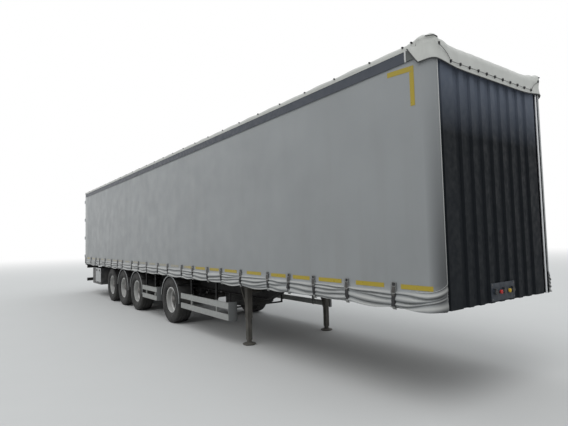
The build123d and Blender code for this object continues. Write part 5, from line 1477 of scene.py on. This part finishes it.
def arm_bolts(x):
    """The bolts of one trailing arm, and the band round the chamber behind its axle."""
    ahead, off, z = PIVOT
    shapes = [bolt_heads([(x + ahead, BEAM_Y + side * off, z)], (0, side, 0), *PIVOT_BOLT)
              for side in (1, -1)]
    shapes += [u_bolt(x, BEAM_Y + offset) for offset in (-U_BOLT_OUT, U_BOLT_OUT)]
    shapes.append(slab((x - CLAMP_HALF[0], BEAM_Y - CLAMP_HALF[1], U_BOLT_SEAT - CLAMP_THICK),
                       (x + CLAMP_HALF[0], BEAM_Y + CLAMP_HALF[1], U_BOLT_SEAT)))
    back, off, z = SPRING_PLACE
    shapes += [bolt_heads([(x + back + e, y, z) for e in (-0.03, 0.03)], UPWARD, *SPRING_BOLT)
               for y in (BEAM_Y - off, BEAM_Y + off)]
    back, out, rise = CHAMBER
    return shapes + [set_at(band(*CHAMBER_BAND), (x + back, out, AXLE_Z + rise), ALONG)]


gear = [shape for x in AXLE_X for shape in arm_bolts(x)]
piece("running_gear_bolts", both_sides(joined(gear)), damper_paint)


# Air tanks: three black tanks that lie lengthwise between the beams, each held by two
# galvanised bands and with a drain valve screwed in below.
TANKS = ((-0.6, 0.26), (-0.6, -0.26), (0.3, 0.26))
TANK_Z = 0.999
TANK_R = 0.1225
TANK_BAND = (0.036, 0.003)  # width and thickness
TANK_BAND_X = 0.21
DOWNWARD = Matrix.Rotation(-math.pi / 2, 4, "X")
coat(black_plastic, "air_tanks")
tank_band = band(TANK_R, *TANK_BAND)
drain = turned([(-0.002, 0.016), (0.012, 0.016), (0.014, 0.011), (0.03, 0.01), (0.031, 0.0005)], 12)
tank_bands = [set_at(tank_band, (x + e, y, TANK_Z), ALONG) for x, y in TANKS
              for e in (-TANK_BAND_X, TANK_BAND_X)]
tank_bands += [set_at(drain, (x, y, TANK_Z - TANK_R), DOWNWARD) for x, y in TANKS]
piece("tank_bands", joined(tank_bands), galvanised)


# Side guards: two ribbed aluminium rails on each side with rounded dark ends, bolted to
# steel posts that hang from the side rails, bare below the upper rail and near black above it,
# where the near black is painted shade.
SHORT_GUARD_END = (0.012, 0.14)
LONG_GUARD_END = 3.792
UPPER_RAIL_TOP = 0.765
POST_X = (-0.85, -0.15, 2.09, 3.26)
RAIL_BOLT_Z = (0.4875, 0.6975)
RAIL_BOLT = (0.009, 0.006)
RAIL_FACE_Y = 1.24
LEFTWARD = (0, 1, 0)


def guard_ends(paint):
    """1 on the rounded front ends of the side guards, dark partly from their own finish and partly as
    painted shade.
    """
    start, end = SHORT_GUARD_END
    before = paint.worked("LESS_THAN", paint.axis("X"), end)
    short = paint.worked("MULTIPLY", paint.beyond("X", start), before)
    return paint.worked("MAXIMUM", short, paint.beyond("X", LONG_GUARD_END))


def above_rails(paint):
    """1 on the posts above the guard's upper rail, which are painted near black as painted shade."""
    return paint.beyond("Z", UPPER_RAIL_TOP)


# The guards' rounded ends are dark, partly their dark finish and partly painted shade.
guard_aluminium = parted("guard_aluminium", (0.32, 0.33, 0.32), (0.055, 0.058, 0.058), guard_ends)
# Painted shade: the posts above the upper rail are near black.
post_steel = parted("post_steel", (0.24, 0.25, 0.24), (0.004, 0.004, 0.004), above_rails, 0.1)
coat(guard_aluminium, "side_guard_rails")
coat(post_steel, "side_guard_posts")
rail_bolts = [(x + e, RAIL_FACE_Y, z) for x in POST_X for z in RAIL_BOLT_Z for e in (-0.014, 0.014)]
piece("guard_bolts", both_sides(rivets(rail_bolts, LEFTWARD, *RAIL_BOLT)), galvanised)


# Landing legs: two square steel legs with a cross shaft and a crank, painted grey, worn and
# dusty. Their mounts are bolted to the beams, and the gearbox has a bolted cover.
LEG_BOLT_X = (3.64, 3.72, 3.8, 3.88)
LEG_BOLT_Z = (1.03, 1.09)
LEG_FACE_Y = 0.88
MOUNT_BOLT = (0.013, 0.01)
GEAR_COVER = (4.0, 1.035, 0.95)
COVER_BOLT = (0.008, 0.006)
leg_grey = painted("leg_grey", (0.07, 0.066, 0.058), 0.65, mottle=0.35, dust=0.25, shine=0.3)
coat(leg_grey, "landing_legs", "landing_crank")
mount_places = [(x, LEG_FACE_Y, z) for x in LEG_BOLT_X for z in LEG_BOLT_Z]
mount_bolts = bolt_heads(mount_places, LEFTWARD, *MOUNT_BOLT)
cover_x, cover_y, cover_z = GEAR_COVER
cover_places = [(cover_x + e, cover_y, cover_z + d) for e in (-0.04, 0.04) for d in (-0.072, 0.072)]
cover_bolts = bolt_heads(cover_places, LEFTWARD, *COVER_BOLT)
piece("leg_bolts", joined([both_sides(mount_bolts), cover_bolts]), nut_steel)


# Tool box: dark painted sheet steel under the right side rail, with a light lid hinged along
# its foot. Two pressed ribs stiffen the lid, and two paddle latches in dishes hold it shut.
RIB_Z = (0.65, 0.8)
LATCH_INSET = 0.17
LATCH_DISH = (0.055, 0.9, 0.975, 0.004, 0.002, 0.0025)  # half width, foot, top, proud, sunk, edge
LATCH_PADDLE = (0.04, 0.912, 0.955, 0.013, -0.003, 0.004)
lid_low, lid_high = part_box("tool_box_lid")
lid_face = lid_low.y + 0.004
box_paint = painted("box_paint", (0.035, 0.036, 0.038), 0.5, dust=0.35)
lid_paint = painted("lid_paint", (0.36, 0.37, 0.37), 0.42, mottle=0.15, dust=0.35)
coat(box_paint, "tool_box")
coat(lid_paint, "tool_box_lid")
lid_ribs = [slab((lid_low.x + 0.05, lid_face - 0.003, z - 0.018),
                 (lid_high.x - 0.05, lid_face + 0.002, z + 0.018), 0.0024) for z in RIB_Z]
latches = []
for x in (lid_low.x + LATCH_INSET, lid_high.x - LATCH_INSET):
    for half, foot, top, proud, sunk, edge in (LATCH_DISH, LATCH_PADDLE):
        latches.append(slab((x - half, lid_face - proud, foot), (x + half, lid_face + sunk, top), edge))
piece("lid_ribs", joined(lid_ribs), lid_paint, "tool_box_lid")
piece("lid_latches", joined(latches), black_plastic, "tool_box_lid")


# Coupling panel: three electrical sockets under sprung lids, and a red and a yellow head for
# the air lines, on a painted plate held to the front wall by four bolts.
SOCKET_Y = (-0.19, 0.0, 0.19)
AIR_HEADS = (("red_air_head", -0.095, (0.4, 0.012, 0.01)), ("yellow_air_head", 0.095, (0.5, 0.33, 0.01)))
PANEL_BOLT_Y = 0.24
PANEL_BOLT = (0.007, 0.005)
FORWARD = (1, 0, 0)
panel_low, panel_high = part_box("coupling_panel")
panel_z = (panel_low.z + panel_high.z) / 2
coat(wall_paint, "coupling_panel")
socket_lid = turned([(-0.003, 0.03), (0.004, 0.031), (0.007, 0.028), (0.008, 0.012), (0.011, 0.01),
                     (0.012, 0.0005)], 24)
air_head = turned([(-0.004, 0.0225), (0.012, 0.0235), (0.015, 0.019), (0.0155, 0.009), (0.008, 0.007),
                   (0.008, 0.0005)], 24)
socket_lids = [set_at(socket_lid, (panel_high.x, y, panel_z), ALONG) for y in SOCKET_Y]
socket_lids += [slab((panel_high.x - 0.02, y - 0.014, panel_z + 0.026),
                     (panel_high.x + 0.006, y + 0.014, panel_z + 0.042), 0.003) for y in SOCKET_Y]
piece("socket_lids", joined(socket_lids), black_plastic)
for name, y, colour in AIR_HEADS:
    head = set_at(air_head, (panel_high.x, y, panel_z), ALONG)
    piece(name, head, painted(name, colour, 0.4, dust=0.1))
panel_bolts = [(panel_low.x + 0.008, y, z) for y in (-PANEL_BOLT_Y, PANEL_BOLT_Y)
               for z in (panel_low.z + 0.02, panel_high.z - 0.02)]
piece("panel_bolts", bolt_heads(panel_bolts, FORWARD, *PANEL_BOLT), nut_steel)
